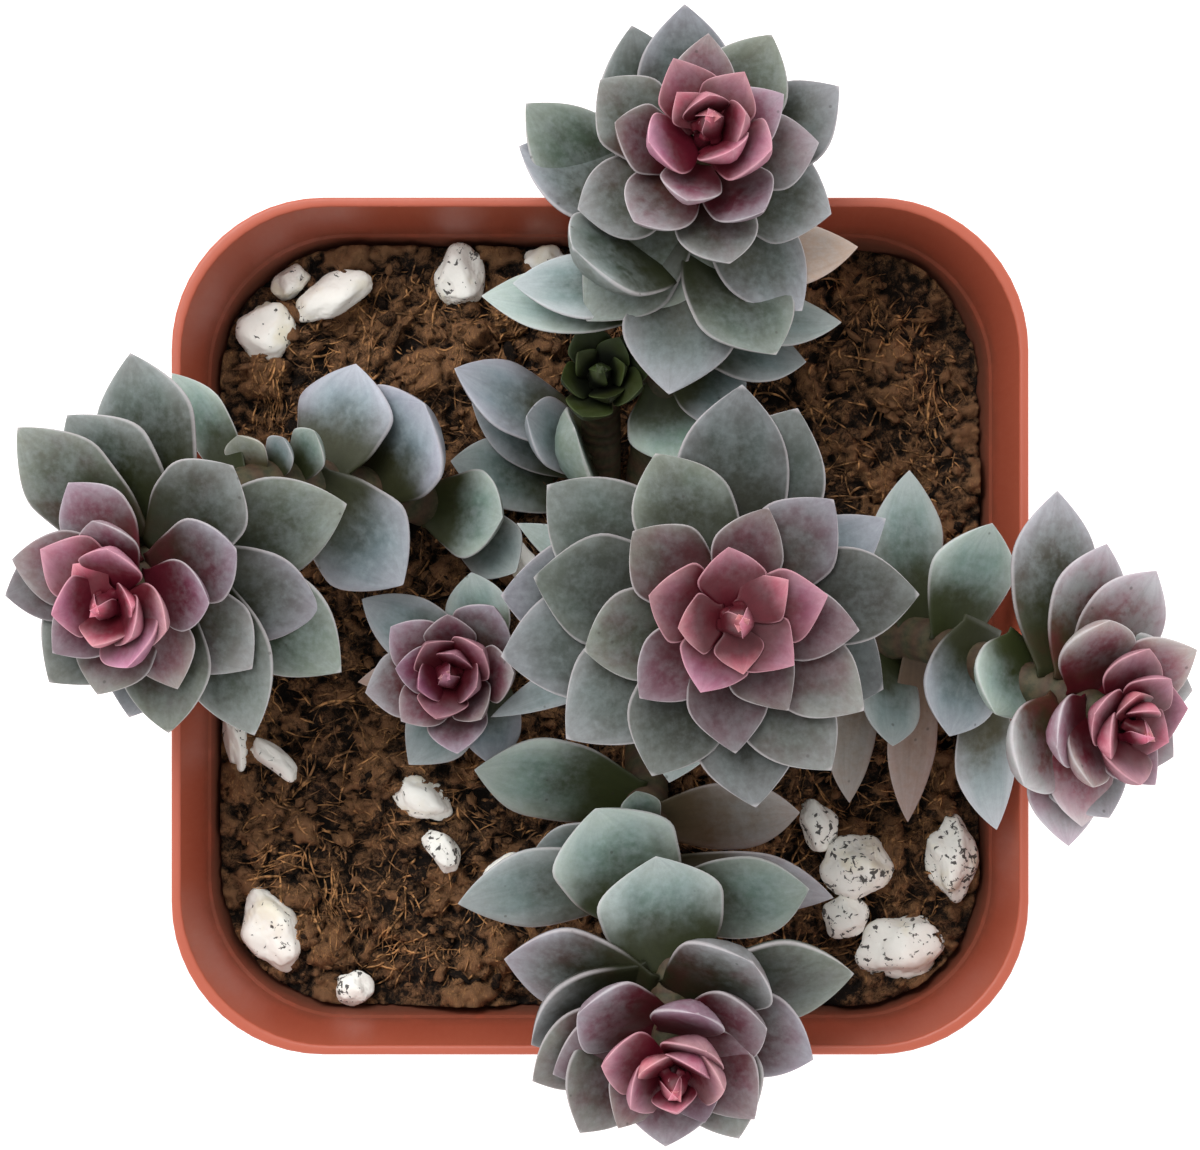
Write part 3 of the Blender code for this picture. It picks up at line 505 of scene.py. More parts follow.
class CREMNO_PG_soil(bpy.types.PropertyGroup):
    """Finish and loose pieces of the soil."""

    # The first colour is painted shade in the soil's hollows and dark stains on the coir fibres; the
    # coir colour is also a painted highlight on the raised clods.
    shade_and_stain: colour_property("Damp", "Colour in the hollows of the soil", 26, 18, 12)
    peat: colour_property("Peat", "Colour of the soil's clods", 146, 106, 74)
    coir: colour_property("Coir", "Colour of the light fibres", 206, 152, 98)
    crumbs: count_property("Crumbs", "Loose crumbs on the soil", 1900, 2500)
    fibres: count_property("Fibres", "Loose fibres on the soil", 4300, 5000)


class CREMNO_PG_perlite(bpy.types.PropertyGroup):
    """Finish of the perlite."""

    chalk: colour_property("Chalk", "Colour of the perlite", 255, 255, 248)
    cream: colour_property("Cream", "Colour of its stained patches", 240, 232, 202)
    fleck: colour_property("Fleck", "Colour of the soil caught in its pores", 24, 18, 14)


class CREMNO_PG_leaves(bpy.types.PropertyGroup):
    """Colours of the leaves."""

    coral: colour_property("Coral", "The youngest leaves of a heart", 246, 108, 120)
    rose: colour_property("Rose", "The middle leaves of a heart", 212, 92, 120)
    mauve: colour_property("Mauve", "The oldest leaves of a heart", 160, 94, 122)
    # Wine, olive and dark foot are the real deeper colour of the leaves' feet and also the painted
    # shade laid towards them.
    wine: colour_property("Wine", "The feet of a heart's leaves", 84, 14, 28)
    plum: colour_property("Plum", "The leaves just under a heart", 152, 86, 110)
    grey: colour_property("Grey", "The leaves halfway out", 110, 109, 104)
    green: colour_property("Green", "The outermost leaves", 98, 113, 107)
    sea: colour_property("Sea green", "The leaves along the stems", 116, 132, 131)
    olive: colour_property("Olive", "The feet of the green leaves", 44, 46, 24)
    # Rim, blush and moss are the real pale margins and also the painted highlight towards a leaf's
    # sides and tip.
    rim: colour_property("Rim", "The pale edges of the leaves", 196, 188, 190)
    blush: colour_property("Blush", "The pale edges of a heart's leaves", 220, 160, 172)
    bloom: colour_property("Bloom", "The powdery bloom on the leaves", 160, 170, 174)
    straw: colour_property("Straw", "Leaves that dry up", 176, 138, 116)
    # The shaded rosette's dark colours are painted shade.
    dark_leaf: colour_property("Dark leaf", "The leaves of the shaded rosette", 64, 72, 24)
    moss: colour_property("Moss", "The edges of the shaded leaves", 78, 92, 46)
    dark_foot: colour_property("Dark foot", "Their feet", 16, 20, 5)
    bark: colour_property("Bark", "The stems", 72, 64, 40)


class CREMNO_PG_stage(bpy.types.PropertyGroup):
    """Floor, lights and camera."""

    floor: colour_property("Floor", "Colour of the floor", 240, 240, 240)
    glow: number_property("Glow", "How much the floor shines of itself", 0.55, 0.0, 5.0)
    horizon: number_property("Horizon", "Strength of the soft light from the sides", 1.72, 0.0, 5.0)
    zenith: number_property("Zenith", "Strength of the soft light from above", 0.70, 0.0, 5.0)
    lamp: FloatProperty(
        name="Lamp", description="Power of the large soft lamp",
        default=4.05, min=0.0, max=100.0, subtype="POWER", unit="POWER",
    )
    focal_length: FloatProperty(
        name="Focal length", description="Of the camera, in millimetres",
        default=135.5, min=10.0, max=500.0, unit="CAMERA",
    )
    shift: number_property("Shift", "Moves the picture up, by its width", 0.0425, -0.2, 0.2)


# Meshes


class Shape:
    """Gathers the points, faces and surface values of one piece, and makes it."""

    def __init__(self):
        self.points = []
        self.faces = []
        self.finishes = []
        self.values = {name: [] for name in SURFACE_VALUES}
        self.count = 0

    def add(self, points, faces, finish=0, **values):
        points = np.asarray(points, dtype=float)
        self.points.append(points)
        self.faces += [tuple(index + self.count for index in face) for face in faces]
        self.finishes += [finish] * len(faces)
        for name, gathered in self.values.items():
            gathered.append(np.broadcast_to(values.get(name, 0.0), len(points)))
        self.count += len(points)

    def make(self, name, materials, slot, replaced=None):
        mesh = bpy.data.meshes.new(name)
        mesh.from_pydata(np.concatenate(self.points).tolist(), [], self.faces)
        for material in materials:
            mesh.materials.append(material)
        mesh.polygons.foreach_set("material_index", self.finishes)
        mesh.polygons.foreach_set("use_smooth", [True] * len(self.faces))
        for value, gathered in self.values.items():
            layer = mesh.attributes.new(value, "FLOAT", "POINT")
            layer.data.foreach_set("value", np.concatenate(gathered).astype(np.float32))
        mesh.validate()
        mesh.update()
        return seat(add_object(name, mesh), replaced)


def add_object(name, data):
    obj = bpy.data.objects.new(name, data)
    bpy.context.scene.collection.objects.link(obj)
    return obj


def seat(obj, replaced=None):
    """Lets a piece ride on the one body and, if it replaces a node of the frame, hides that node."""
    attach(obj, "root")
    if replaced:
        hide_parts(replaced)
    return obj


def ring_faces(rings, count):
    """Quads between rings of points that follow each other, with a cap on each end."""
    faces = [tuple(reversed(range(count)))]
    for k in range(rings - 1):
        low, high = k * count, (k + 1) * count
        for j in range(count):
            n = (j + 1) % count
            faces.append((low + j, low + n, high + n, high + j))
    return faces + [tuple(range((rings - 1) * count, rings * count))]


@cache
def ball(level):
    """Points and faces of a ball of radius 1, made of even triangles."""
    shape = bmesh.new()
    bmesh.ops.create_icosphere(shape, subdivisions=level, radius=1.0)
    points = [vertex.co.copy() for vertex in shape.verts]
    faces = [tuple(vertex.index for vertex in face.verts) for face in shape.faces]
    shape.free()
    return points, faces


def tube(centres, radii, sides):
    """Points and faces of a tube through the centres, turned as little as possible on its way."""
    points = []
    side = None
    for k, centre in enumerate(centres):
        ahead = (centres[min(k + 1, len(centres) - 1)] - centres[max(k - 1, 0)]).normalized()
        side = ahead.orthogonal() if side is None else side - ahead * side.dot(ahead)
        side.normalize()
        other = ahead.cross(side)
        for j in range(sides):
            angle = 2 * math.pi * j / sides
            points.append(centre + (side * math.cos(angle) + other * math.sin(angle)) * radii[k])
    return points, ring_faces(len(centres), sides)


# Node trees


class Value:
    """A value, place or colour in a node tree, which can be reckoned with."""

    def __init__(self, socket):
        self.socket = socket
        self.tree = socket.id_data

    def beside(self, output):
        """Another output of the same node."""
        return Value(self.socket.node.outputs[output])

    def math(self, operation, *others, clamp=False):
        inputs = dict(enumerate((self, *others)))
        return place(self.tree, "ShaderNodeMath", 0, inputs, operation=operation, use_clamp=clamp)

    def __add__(self, other):
        return self.math("ADD", other)

    def __sub__(self, other):
        return self.math("SUBTRACT", other)

    def __mul__(self, other):
        return self.math("MULTIPLY", other)

    def __truediv__(self, other):
        return self.math("DIVIDE", other)

    def __abs__(self):
        return self.math("ABSOLUTE")

    def most(self, other):
        """The larger of this and the other."""
        return self.math("MAXIMUM", other)

    def clamped(self):
        """This, but not under 0 or over 1."""
        return self.math("ADD", 0.0, clamp=True)

    def ramped(self, low, high, to_low=0.0, to_high=1.0, smooth=True):
        """This brought from one range to another, without going past its ends."""
        limits = {"From Min": low, "From Max": high, "To Min": to_low, "To Max": to_high}
        return place(
            self.tree, "ShaderNodeMapRange", "Result", {"Value": self, **limits},
            interpolation_type="SMOOTHSTEP" if smooth else "LINEAR",
        )

    def between(self, first, second):
        """The second colour mixed into the first by this share."""
        inputs = {0: self, 6: first, 7: second}
        return place(self.tree, "ShaderNodeMix", 2, inputs, data_type="RGBA")

    def times(self, colour):
        """This colour multiplied by another."""
        inputs = {0: 1.0, 6: self, 7: colour}
        return place(self.tree, "ShaderNodeMix", 2, inputs, data_type="RGBA", blend_type="MULTIPLY")

    def noise(self, scale, detail=3.0, roughness=0.55, distortion=0.0):
        """Noise at this place."""
        return place(self.tree, "ShaderNodeTexNoise", "Fac", {
            "Vector": self, "Scale": scale, "Detail": detail, "Roughness": roughness,
            "Distortion": distortion,
        })

    def stretched(self, scale):
        """This place, whose patterns come out longer along an axis where the scale is under 1."""
        return place(self.tree, "ShaderNodeMapping", "Vector", {"Vector": self, "Scale": scale})


def connect(node, values):
    """Feeds a node's inputs, each with a value of the tree, a number, a place or a colour."""
    for name, value in values.items():
        socket = node.inputs[name]
        if isinstance(value, Value):
            socket.id_data.links.new(value.socket, socket)
        elif socket.type == "RGBA":
            socket.default_value = (*value, 1.0)
        else:
            socket.default_value = value


def place(tree, kind, output, inputs=None, **settings):
    """One output of a new node with these settings and inputs."""
    node = tree.nodes.new(kind)
    for name, value in settings.items():
        setattr(node, name, value)
    connect(node, inputs or {})
    return Value(node.outputs[output])


def attribute(tree, name):
    return place(tree, "ShaderNodeAttribute", "Fac", attribute_name=name)


def object_place(tree):
    return place(tree, "ShaderNodeTexCoord", "Object")


def combined(x, y=0.0, z=0.0):
    """A place from its three parts."""
    return place(x.tree, "ShaderNodeCombineXYZ", "Vector", {"X": x, "Y": y, "Z": z})


def new_group(name, inputs, outputs):
    """An empty group, its inputs by name, and its output node.

    The inputs come with their defaults, a colour or a number, and the outputs with their kinds.
    """
    group = bpy.data.node_groups.new(name, "ShaderNodeTree")
    for title, default in inputs.items():
        coloured = isinstance(default, tuple)
        kind = "NodeSocketColor" if coloured else "NodeSocketFloat"
        socket = group.interface.new_socket(title, in_out="INPUT", socket_type=kind)
        socket.default_value = (*default, 1.0) if coloured else default
    for title, kind in outputs.items():
        group.interface.new_socket(title, in_out="OUTPUT", socket_type="NodeSocket" + kind)
    given = {socket.name: Value(socket) for socket in group.nodes.new("NodeGroupInput").outputs}
    return group, given, group.nodes.new("NodeGroupOutput")


def use_group(tree, name, make, values):
    """The outputs of a group placed in a material; the group is made when it is first used."""
    node = tree.nodes.new("ShaderNodeGroup")
    node.node_tree = bpy.data.node_groups.get(name) or make(name)
    connect(node, values)
    return {socket.name: Value(socket) for socket in node.outputs}


def new_material(name, shown):
    material = bpy.data.materials.new(name)
    material.use_nodes = True
    material.diffuse_color = (*shown, 1.0)
    tree = material.node_tree
    return material, tree, tree.nodes["Principled BSDF"]


def add_bump(shader, height, distance, strength=1.0):
    inputs = {"Height": height, "Distance": distance, "Strength": strength}
    connect(shader, {"Normal": place(shader.id_data, "ShaderNodeBump", "Normal", inputs)})


def leaf_flush_and_light_group(name):
    """Colour of a leaf by its age, darkened towards its foot, partly its real deeper colour and partly
    painted shade, lightened towards its sides and tip as a painted highlight, with a pale edge.
    """
    group, given, out = new_group(name, {
        "Young": (0.5, 0.1, 0.1), "Middle": (0.3, 0.2, 0.2), "Old": (0.2, 0.3, 0.2),
        "Young foot": (0.06, 0.01, 0.02), "Foot": (0.05, 0.06, 0.02), "Rim": (0.5, 0.5, 0.5),
        "Dried": (0.5, 0.4, 0.2), "Foot reach": 0.6, "Rim share": 0.6,
    }, {"Colour": "Color"})
    values = [attribute(group, value) for value in SURFACE_VALUES]
    along, across, under, age, tone, dry = values
    drift = object_place(group).noise(260.0).ramped(0.3, 0.7, -1.0, 1.0)
    side = abs(across)
    aged = age + drift * 0.08
    colour = aged.ramped(0.02, 0.45).between(given["Young"], given["Middle"])
    colour = aged.ramped(0.40, 0.85).between(colour, given["Old"])
    # Painted highlight: the sides and the tip are lightened towards the rim colour.
    lit = side.ramped(0.30, 1.0).most(along.ramped(0.62, 1.0)) * 0.46
    colour = lit.between(colour, given["Rim"])
    # Partly the foot's real deeper colour and partly painted shade: the foot colour is mixed in towards
    # the foot and a little on the underside.
    foot = (along + drift * 0.07 + side * 0.12) / given["Foot reach"]
    foot_colour = aged.ramped(0.10, 0.50).between(given["Young foot"], given["Foot"])
    colour = foot.ramped(1.0, 0.38).most(under * 0.35).between(colour, foot_colour)
    colour = colour.times(tone.between(LEAF_DARKEST, LEAF_PALEST))
    hue = (tone * HUE_TURNS).math("FRACT")
    colour = colour.times(hue.between(LEAF_GREENEST, LEAF_BLUEST))
    edge = side.ramped(0.93, 0.998) * along.ramped(0.12, 0.4)
    edge = edge.most(along.ramped(0.965, 1.0)) * given["Rim share"]
    colour = edge.between(colour, given["Rim"])
    dry = dry * along.ramped(0.0, 0.75, 0.25, 0.85)
    connect(out, {"Colour": dry.between(colour, given["Dried"])})
    return group


def powdery_bloom_group(name):
    """Uneven powdery bloom, soft mottling, fine grain and a few dark specks laid over a colour."""
    group, given, out = new_group(name, {
        "Colour": (0.2, 0.2, 0.2), "Bloom": (0.5, 0.5, 0.5), "Cover": 0.35, "Specks": 0.5,
    }, {"Colour": "Color", "Roughness": "Float", "Height": "Float"})
    where = object_place(group)
    along, across, tone = (attribute(group, value) for value in ("along", "across", "tone"))
    streaks = combined(across * 4.0, along * 1.6, tone * 37.0).noise(1.6)
    cloud = where.noise(430.0, 4.0, 0.62)
    mottled = where.noise(1700.0, 3.0, 0.6)
    grain = where.noise(6500.0, 2.0, 0.6)
    cover = (cloud * 0.6 + mottled * 0.4).ramped(0.36, 0.68) * along.ramped(0.15, 0.75)
    cover = (cover * tone.ramped(0.0, 1.0, 0.5, 2.0)).clamped()
    colour = (cover * given["Cover"]).between(given["Colour"], given["Bloom"])
    for pattern, spread in ((streaks, 0.20), (mottled, 0.12), (grain, 0.08)):
        colour = colour.times(pattern.between((1 - spread,) * 3, (1 + spread,) * 3))
    dots = place(group, "ShaderNodeTexVoronoi", "Distance", {"Vector": where, "Scale": 850.0})
    chance = place(group, "ShaderNodeSeparateColor", 0, {"Color": dots.beside("Color")})
    dot = dots.ramped(0.17, 0.07) * chance.math("GREATER_THAN", 0.84) * given["Specks"]
    connect(out, {
        "Colour": dot.between(colour, SPECK_COLOUR),
        "Roughness": cover.ramped(0.0, 1.0, 0.46, 0.66),
        "Height": grain * 0.3 + mottled * 0.7,
    })
    return group


def dust_group(name):
    """Soil dust that settles low down and in patches, laid over a colour."""
    group, given, out = new_group(name, {
        "Colour": (0.5, 0.2, 0.1), "Dust": (0.1, 0.06, 0.04),
        "Low": 0.05, "High": 0.06, "Most": 0.8,
    }, {"Colour": "Color", "Mask": "Float"})
    where = object_place(group)
    height = place(group, "ShaderNodeSeparateXYZ", "Z", {"Vector": where})
    low = height.ramped(given["Low"], given["High"], 1.0, 0.0, smooth=False)
    patches = where.noise(300.0, 5.0, 0.65).ramped(0.35, 0.65)
    mask = ((patches + low).clamped() * low * given["Most"]).clamped()
    connect(out, {"Colour": mask.between(given["Colour"], given["Dust"]), "Mask": mask})
    return group


def leaf_material(name, ages, feet, rim, foot_reach, rim_share, cover, specks):
    """Material of one kind of leaf, from its young, middle and old colour and its feet's, with painted
    shade towards the foot and a painted highlight towards the sides and tip.
    """
    known = bpy.data.materials.get(name)
    if known:
        return known
    look = bpy.context.scene.cremno_leaves
    material, tree, shader = new_material(name, ages[1])
    flush = use_group(tree, "Leaf flush and painted light", leaf_flush_and_light_group, {
        "Young": ages[0], "Middle": ages[1], "Old": ages[2], "Young foot": feet[0],
        "Foot": feet[1], "Rim": rim, "Dried": look.straw, "Foot reach": foot_reach,
        "Rim share": rim_share,
    })
    bloom = use_group(tree, "Powdery bloom", powdery_bloom_group, {
        "Colour": flush["Colour"], "Bloom": look.bloom, "Cover": cover, "Specks": specks,
    })
    connect(shader, {
        "Base Color": bloom["Colour"], "Roughness": bloom["Roughness"], "Specular IOR Level": 0.35,
    })
    add_bump(shader, bloom["Height"], 0.05 * MM, 0.5)
    return material


def grey_green_leaf():
    look = bpy.context.scene.cremno_leaves
    return leaf_material(
        "grey-green leaf", (look.plum, look.grey, look.green), (look.wine, look.olive), look.rim,
        foot_reach=1.10, rim_share=0.50, cover=0.22, specks=0.5,
    )


def stem_leaf_skin():
    look = bpy.context.scene.cremno_leaves
    return leaf_material(
        "stem leaf", (look.plum, look.grey, look.sea), (look.wine, look.olive), look.rim,
        foot_reach=0.85, rim_share=0.45, cover=0.25, specks=0.5,
    )


def pink_heart_leaf():
    look = bpy.context.scene.cremno_leaves
    return leaf_material(
        "pink heart leaf", (look.coral, look.rose, look.mauve), (look.wine,) * 2, look.blush,
        foot_reach=1.18, rim_share=0.45, cover=0.10, specks=0.1,
    )


def shaded_leaf():
    look = bpy.context.scene.cremno_leaves
    return leaf_material(
        "shaded leaf", (look.dark_leaf,) * 3, (look.dark_foot,) * 2, look.moss,
        foot_reach=0.8, rim_share=0.4, cover=0.03, specks=0.3,
    )


def stem_bark():
    """Bare stem: ringed by old leaf scars, olive with a brownish cast."""
    known = bpy.data.materials.get("stem bark")
    if known:
        return known
    look = bpy.context.scene.cremno_leaves
    material, tree, shader = new_material("stem bark", look.bark)
    fine = object_place(tree).noise(1400.0, 4.0, 0.6)
    rings = place(tree, "ShaderNodeTexWave", "Fac", {
        "Vector": combined(attribute(tree, "along")), "Scale": 7.0, "Distortion": 3.0,
        "Detail": 2.0,
    })
    colour = fine.ramped(0.3, 0.7).between(look.bark, look.olive)
    colour = (rings * 0.25).between(colour, look.wine)
    connect(shader, {"Base Color": colour, "Roughness": 0.7})
    add_bump(shader, fine + rings, 0.08 * MM, 0.6)
    return material


def terracotta_plastic():
    """Moulded plastic: fine lines up its wall, scuffs, a lighter lip and inner step that are partly
    wear and partly painted highlight, and soil dust inside.
    """
    look = bpy.context.scene.cremno_pot
    material, tree, shader = new_material("terracotta plastic", look.plastic)
    where = object_place(tree)
    lines = where.stretched((1.0, 1.0, 0.08)).noise(900.0, 4.0, 0.7)
    deep = tuple(v * 0.93 for v in look.plastic)
    colour = where.noise(70.0).ramped(0.3, 0.7).between(deep, look.plastic)
    colour = (lines.ramped(0.58, 0.80) * look.scuffs).between(colour, look.worn_and_highlight)
    # The lip and the inner step are lightened, partly as wear and partly as a painted highlight.
    colour = attribute(tree, "tone").between(colour, look.worn_and_highlight)
    dusted = use_group(tree, "Soil dust", dust_group, {
        "Colour": colour, "Dust": look.dusty, "Low": SOIL_LEVEL + 0.5 * MM,
        "High": SOIL_LEVEL + 6.0 * MM, "Most": 0.85,
    })
    rough = lines * 0.24 + dusted["Mask"] * 0.3 + (look.roughness - 0.12)
    connect(shader, {
        "Base Color": attribute(tree, "under").between(colour, dusted["Colour"]),
        "Roughness": rough.clamped(),
    })
    add_bump(shader, lines + where.noise(2600.0, 2.0) * 0.3, 0.03 * MM, 0.5)
    return material


def potting_soil():
    """Peat: its hollows darkened as painted shade, and its raised clods lightened in the coir colour,
    partly as light coir hairs in patches and partly as a painted highlight.
    """
    known = bpy.data.materials.get("potting soil")
    if known:
        return known
    look = bpy.context.scene.cremno_soil
    material, tree, shader = new_material("potting soil", look.peat)
    where, raised = object_place(tree), attribute(tree, "tone")
    fine = where.noise(1500.0, 8.0, 0.8, 1.2)
    hairs = where.stretched((1.0, 0.3, 1.0)).noise(3800.0, 3.0, 0.7, 1.5)
    # Painted shade: the lower the soil, the more it takes the dark colour.
    colour = (raised * 0.5 + fine * 0.9).ramped(0.60, 0.84).between(look.shade_and_stain, look.peat)
    # Coir hairs and a painted highlight: only the raised clods take the coir colour.
    light = hairs.ramped(0.50, 0.66) * where.noise(170.0).ramped(0.35, 0.60)
    light = light.most(fine.ramped(0.57, 0.66)) * raised.ramped(0.30, 0.75, 0.0, 0.75)
    connect(shader, {
        "Base Color": light.between(colour, look.coir), "Roughness": 0.92,
        "Specular IOR Level": 0.25,
    })
    add_bump(shader, fine + hairs * 0.6, 0.45 * MM)
    return material


def coir_fibre():
    look = bpy.context.scene.cremno_soil
    material, tree, shader = new_material("coir fibre", look.coir)
    colour = attribute(tree, "tone").between(look.peat, look.coir)
    stained = object_place(tree).noise(1500.0).ramped(0.60, 0.38, 0.0, 0.8)
    connect(shader, {
        "Base Color": stained.between(colour, look.shade_and_stain), "Roughness": 0.8,
        "Specular IOR Level": 0.25,
    })
    return material


def chalky_perlite():
    """White chips with cream stains and pores that hold dark soil."""
    known = bpy.data.materials.get("chalky perlite")
    if known:
        return known
    look = bpy.context.scene.cremno_perlite
    material, tree, shader = new_material("chalky perlite", look.chalk)
    where = object_place(tree)
    colour = where.noise(260.0).ramped(0.50, 0.72, 0.0, 0.7).between(look.chalk, look.cream)
    spots = where.noise(1500.0, 3.0, 0.6, 0.6) + where.noise(300.0, 1.0) * 0.25
    bare = attribute(tree, "tone").ramped(0.0, 1.0, 0.80, 0.60, smooth=False)
    fleck = (spots - bare).ramped(0.0, 0.03)
    connect(shader, {"Base Color": (fleck * 0.9).between(colour, look.fleck), "Roughness": 0.88})
    add_bump(shader, where.noise(1900.0, 4.0, 0.7) * 0.5 - fleck, 0.12 * MM, 0.7)
    return material


# Pot


def rounded_square(half, z):
    """One loop of a square with rounded corners, whose corners shrink with its width."""
    radius = POT_CORNER * half / (POT_WIDTH / 2)
    loop = []
    for corner in range(4):
        turn = corner * math.pi / 2
        middle = Matrix.Rotation(turn, 3, "Z") @ Vector((half - radius, half - radius, 0))
        for k in range(CORNER_POINTS):
            angle = turn + math.pi / 2 * k / (CORNER_POINTS - 1)
            edge = Vector((math.cos(angle), math.sin(angle), 0)) * radius
            loop.append(middle + edge + Vector((0, 0, z)))
    return loop


def pot_half(z):
    """Half width of the pot's outer wall below its collar."""
    top = POT_WIDTH / 2 - COLLAR_STEP_OUT - COLLAR_TAPER
    return blend((POT_BASE_WIDTH / 2, top), z / (POT_HEIGHT - COLLAR_HEIGHT))


def inner_half(z):
    return pot_half(z) - WALL


def filleted(corners):
    """An open section through the corners (half width, z, radius), rounded at each by its radius."""
    section = [Vector(corners[0][:2])]
    for before, corner, after in zip(corners, corners[1:], corners[2:]):
        point = Vector(corner[:2])
        back, on = (Vector(before[:2]) - point).normalized(), (Vector(after[:2]) - point).normalized()
        if corner[2] <= 0:
            section.append(point)
            continue
        half_angle = back.angle(on) / 2
        reach = corner[2] / math.tan(half_angle)
        start, end = point + back * reach, point + on * reach
        for k in range(FILLET_STEPS + 1):
            t = k / FILLET_STEPS
            section.append(start * (1 - t) ** 2 + point * (2 * t * (1 - t)) + end * t ** 2)
    section.append(Vector(corners[-1][:2]))
    return section


def cut_drains(pot):
    """Cuts the four drain holes through the floor."""
    cutter_mesh = bpy.data.meshes.new("drains")
    shape = bmesh.new()
    for x in (-DRAIN_OFFSET, DRAIN_OFFSET):
        for y in (-DRAIN_OFFSET, DRAIN_OFFSET):
            bmesh.ops.create_cone(
                shape, cap_ends=True, segments=DRAIN_SIDES, radius1=DRAIN_DIAMETER / 2,
                radius2=DRAIN_DIAMETER / 2, depth=6 * FLOOR, matrix=Matrix.Translation((x, y, 0)),
            )
    shape.to_mesh(cutter_mesh)
    shape.free()
    cutter = add_object("drains", cutter_mesh)
    cut = pot.modifiers.new("drains", "BOOLEAN")
    cut.operation = "DIFFERENCE"
    cut.object = cutter
    cut.solver = "EXACT"
    graph = bpy.context.evaluated_depsgraph_get()
    result = bpy.data.meshes.new_from_object(pot.evaluated_get(graph))
    pot.modifiers.clear()
    pot.data = result
    bpy.data.objects.remove(cutter, do_unlink=True)


def pot_section():
    """The pot's section from its underside out, up to the lip and down inside to its floor."""
    rim = POT_WIDTH / 2
    collar_base = POT_HEIGHT - COLLAR_HEIGHT
    step = POT_HEIGHT - INNER_STEP_DEPTH
    outer = (
        (pot_half(0) / 3, 0.0, 0.0),
        (pot_half(0), 0.0, BASE_ROUND),
        (pot_half(collar_base), collar_base, STEP_ROUND),
        (rim - COLLAR_TAPER, collar_base, STEP_ROUND),
        (rim, POT_HEIGHT, LIP_ROUND),
        (rim - LIP, POT_HEIGHT, LIP_ROUND),
    )
    inner = (
        (inner_half(step) + INNER_STEP_IN, step + INNER_STEP_RISE, STEP_ROUND),
        (inner_half(step), step, STEP_ROUND),
        (inner_half(2 * FLOOR), 2 * FLOOR, BASE_ROUND),
        (inner_half(0) - FLOOR, FLOOR, 0.0),
        (inner_half(0) / 3, FLOOR, 0.0),
    )
    return filleted(outer + inner)


def pot_wear_and_highlight(section):
    """Whether each point of the section is inside the pot, and how much it is lightened: wear and
    painted highlight on the lip and the inner step.
    """
    step = POT_HEIGHT - INNER_STEP_DEPTH
    inside, worn_and_highlight = [], []
    turned_in = False
    for half, z in section:
        past_lip = z > POT_HEIGHT - 2 * LIP_ROUND and half < POT_WIDTH / 2 - LIP / 2
        turned_in = turned_in or past_lip
        inside.append(float(turned_in and z < POT_HEIGHT - LIP))
        on_step = turned_in and step - STEP_ROUND < z < step + INNER_STEP_RISE + STEP_ROUND
        on_lip = z > POT_HEIGHT - LIP_ROUND
        worn_and_highlight.append(STEP_WORN_AND_HIGHLIGHT if on_step else LIP_WORN_AND_HIGHLIGHT if on_lip else 0.0)
    return inside, worn_and_highlight


class CREMNO_OT_pot(bpy.types.Operator):
    """Make the square pot with its rounded lip, collar and inner step"""

    bl_idname = "cremno.pot"
    bl_label = "Make the pot"

    def execute(self, context):
        section = pot_section()
        inside, worn_and_highlight = pot_wear_and_highlight(section)
        points = [p for half, z in section for p in rounded_square(half, z)]
        count = 4 * CORNER_POINTS
        shape = Shape()
        shape.add(
            points, ring_faces(len(section), count),
            under=np.repeat(inside, count), tone=np.repeat(worn_and_highlight, count),
        )
        pot = shape.make("square_pot", [terracotta_plastic()], "terracotta_plastic", "pot")
        cut_drains(pot)
        pot.data.set_sharp_from_angle(angle=math.radians(50))
        return {"FINISHED"}


# Soil


def soil_height(x, y):
    """The soil's top here: its level with lumps of two sizes."""
    height = SOIL_LEVEL
    for size, depth in SOIL_LUMPS:
        height += depth * noise.noise(Vector((x / size, y / size, size / MM)))
    return height


def clod_height(x, y):
    """How far clods and hollows stand off the soil's top here, and that as a share of the most."""
    sway = Vector((
        noise.noise(Vector((x, y, 0.0)) / CLOD_SWAY),
        noise.noise(Vector((y, x, 9 * CLOD_SWAY)) / CLOD_SWAY), 0.0,
    )) * CLOD_UNEVEN
    grain, depth_of_grain = SOIL_GRAIN
    total = depth_of_grain * noise.fractal(Vector((x, y, 0.0)) / grain, *GRAIN_FRACTAL)
    most = depth_of_grain
    for size, depth in SOIL_CLODS:
        distances, middles = noise.voronoi(Vector((x / size, y / size, size / MM)) + sway)
        edge = min(1.0, (distances[1] - distances[0]) / CLOD_EDGE)
        rise = abs(noise.noise(middles[0] * 3.1)) * 2
        total += depth * (math.sqrt(edge) * (0.3 + min(rise, 1.0)) - 0.5)
        most += depth
    return total, total / most


def square_reach(angle, half):
    """How far a rounded square's edge is from its middle in one direction."""
    radius = POT_CORNER * half / (POT_WIDTH / 2)
    c, s = sorted((abs(math.cos(angle)), abs(math.sin(angle))), reverse=True)
    straight = half / c
    if straight * s <= half - radius:
        return straight
    middle = half - radius
    b = middle * (c + s)
    return b + math.sqrt(b * b - (2 * middle * middle - radius * radius))


def inside_by(x, y, half):
    """How far inside the edge of a rounded square this place is."""
    return square_reach(math.atan2(y, x), half) - math.hypot(x, y)


def soil_places(half):
    """Places that fill a rounded square evenly, row after row."""
    places = []
    for j in range(SOIL_CELLS + 1):
        for i in range(SOIL_CELLS + 1):
            x, y = 2 * i / SOIL_CELLS - 1, 2 * j / SOIL_CELLS - 1
            out = max(abs(x), abs(y))
            scale = half
            if out > 0:
                reach = square_reach(math.atan2(y, x), half) / (math.hypot(x, y) / out)
                scale = blend((half, reach), out ** SOIL_SQUARING)
            places.append((x * scale, y * scale))
    return places


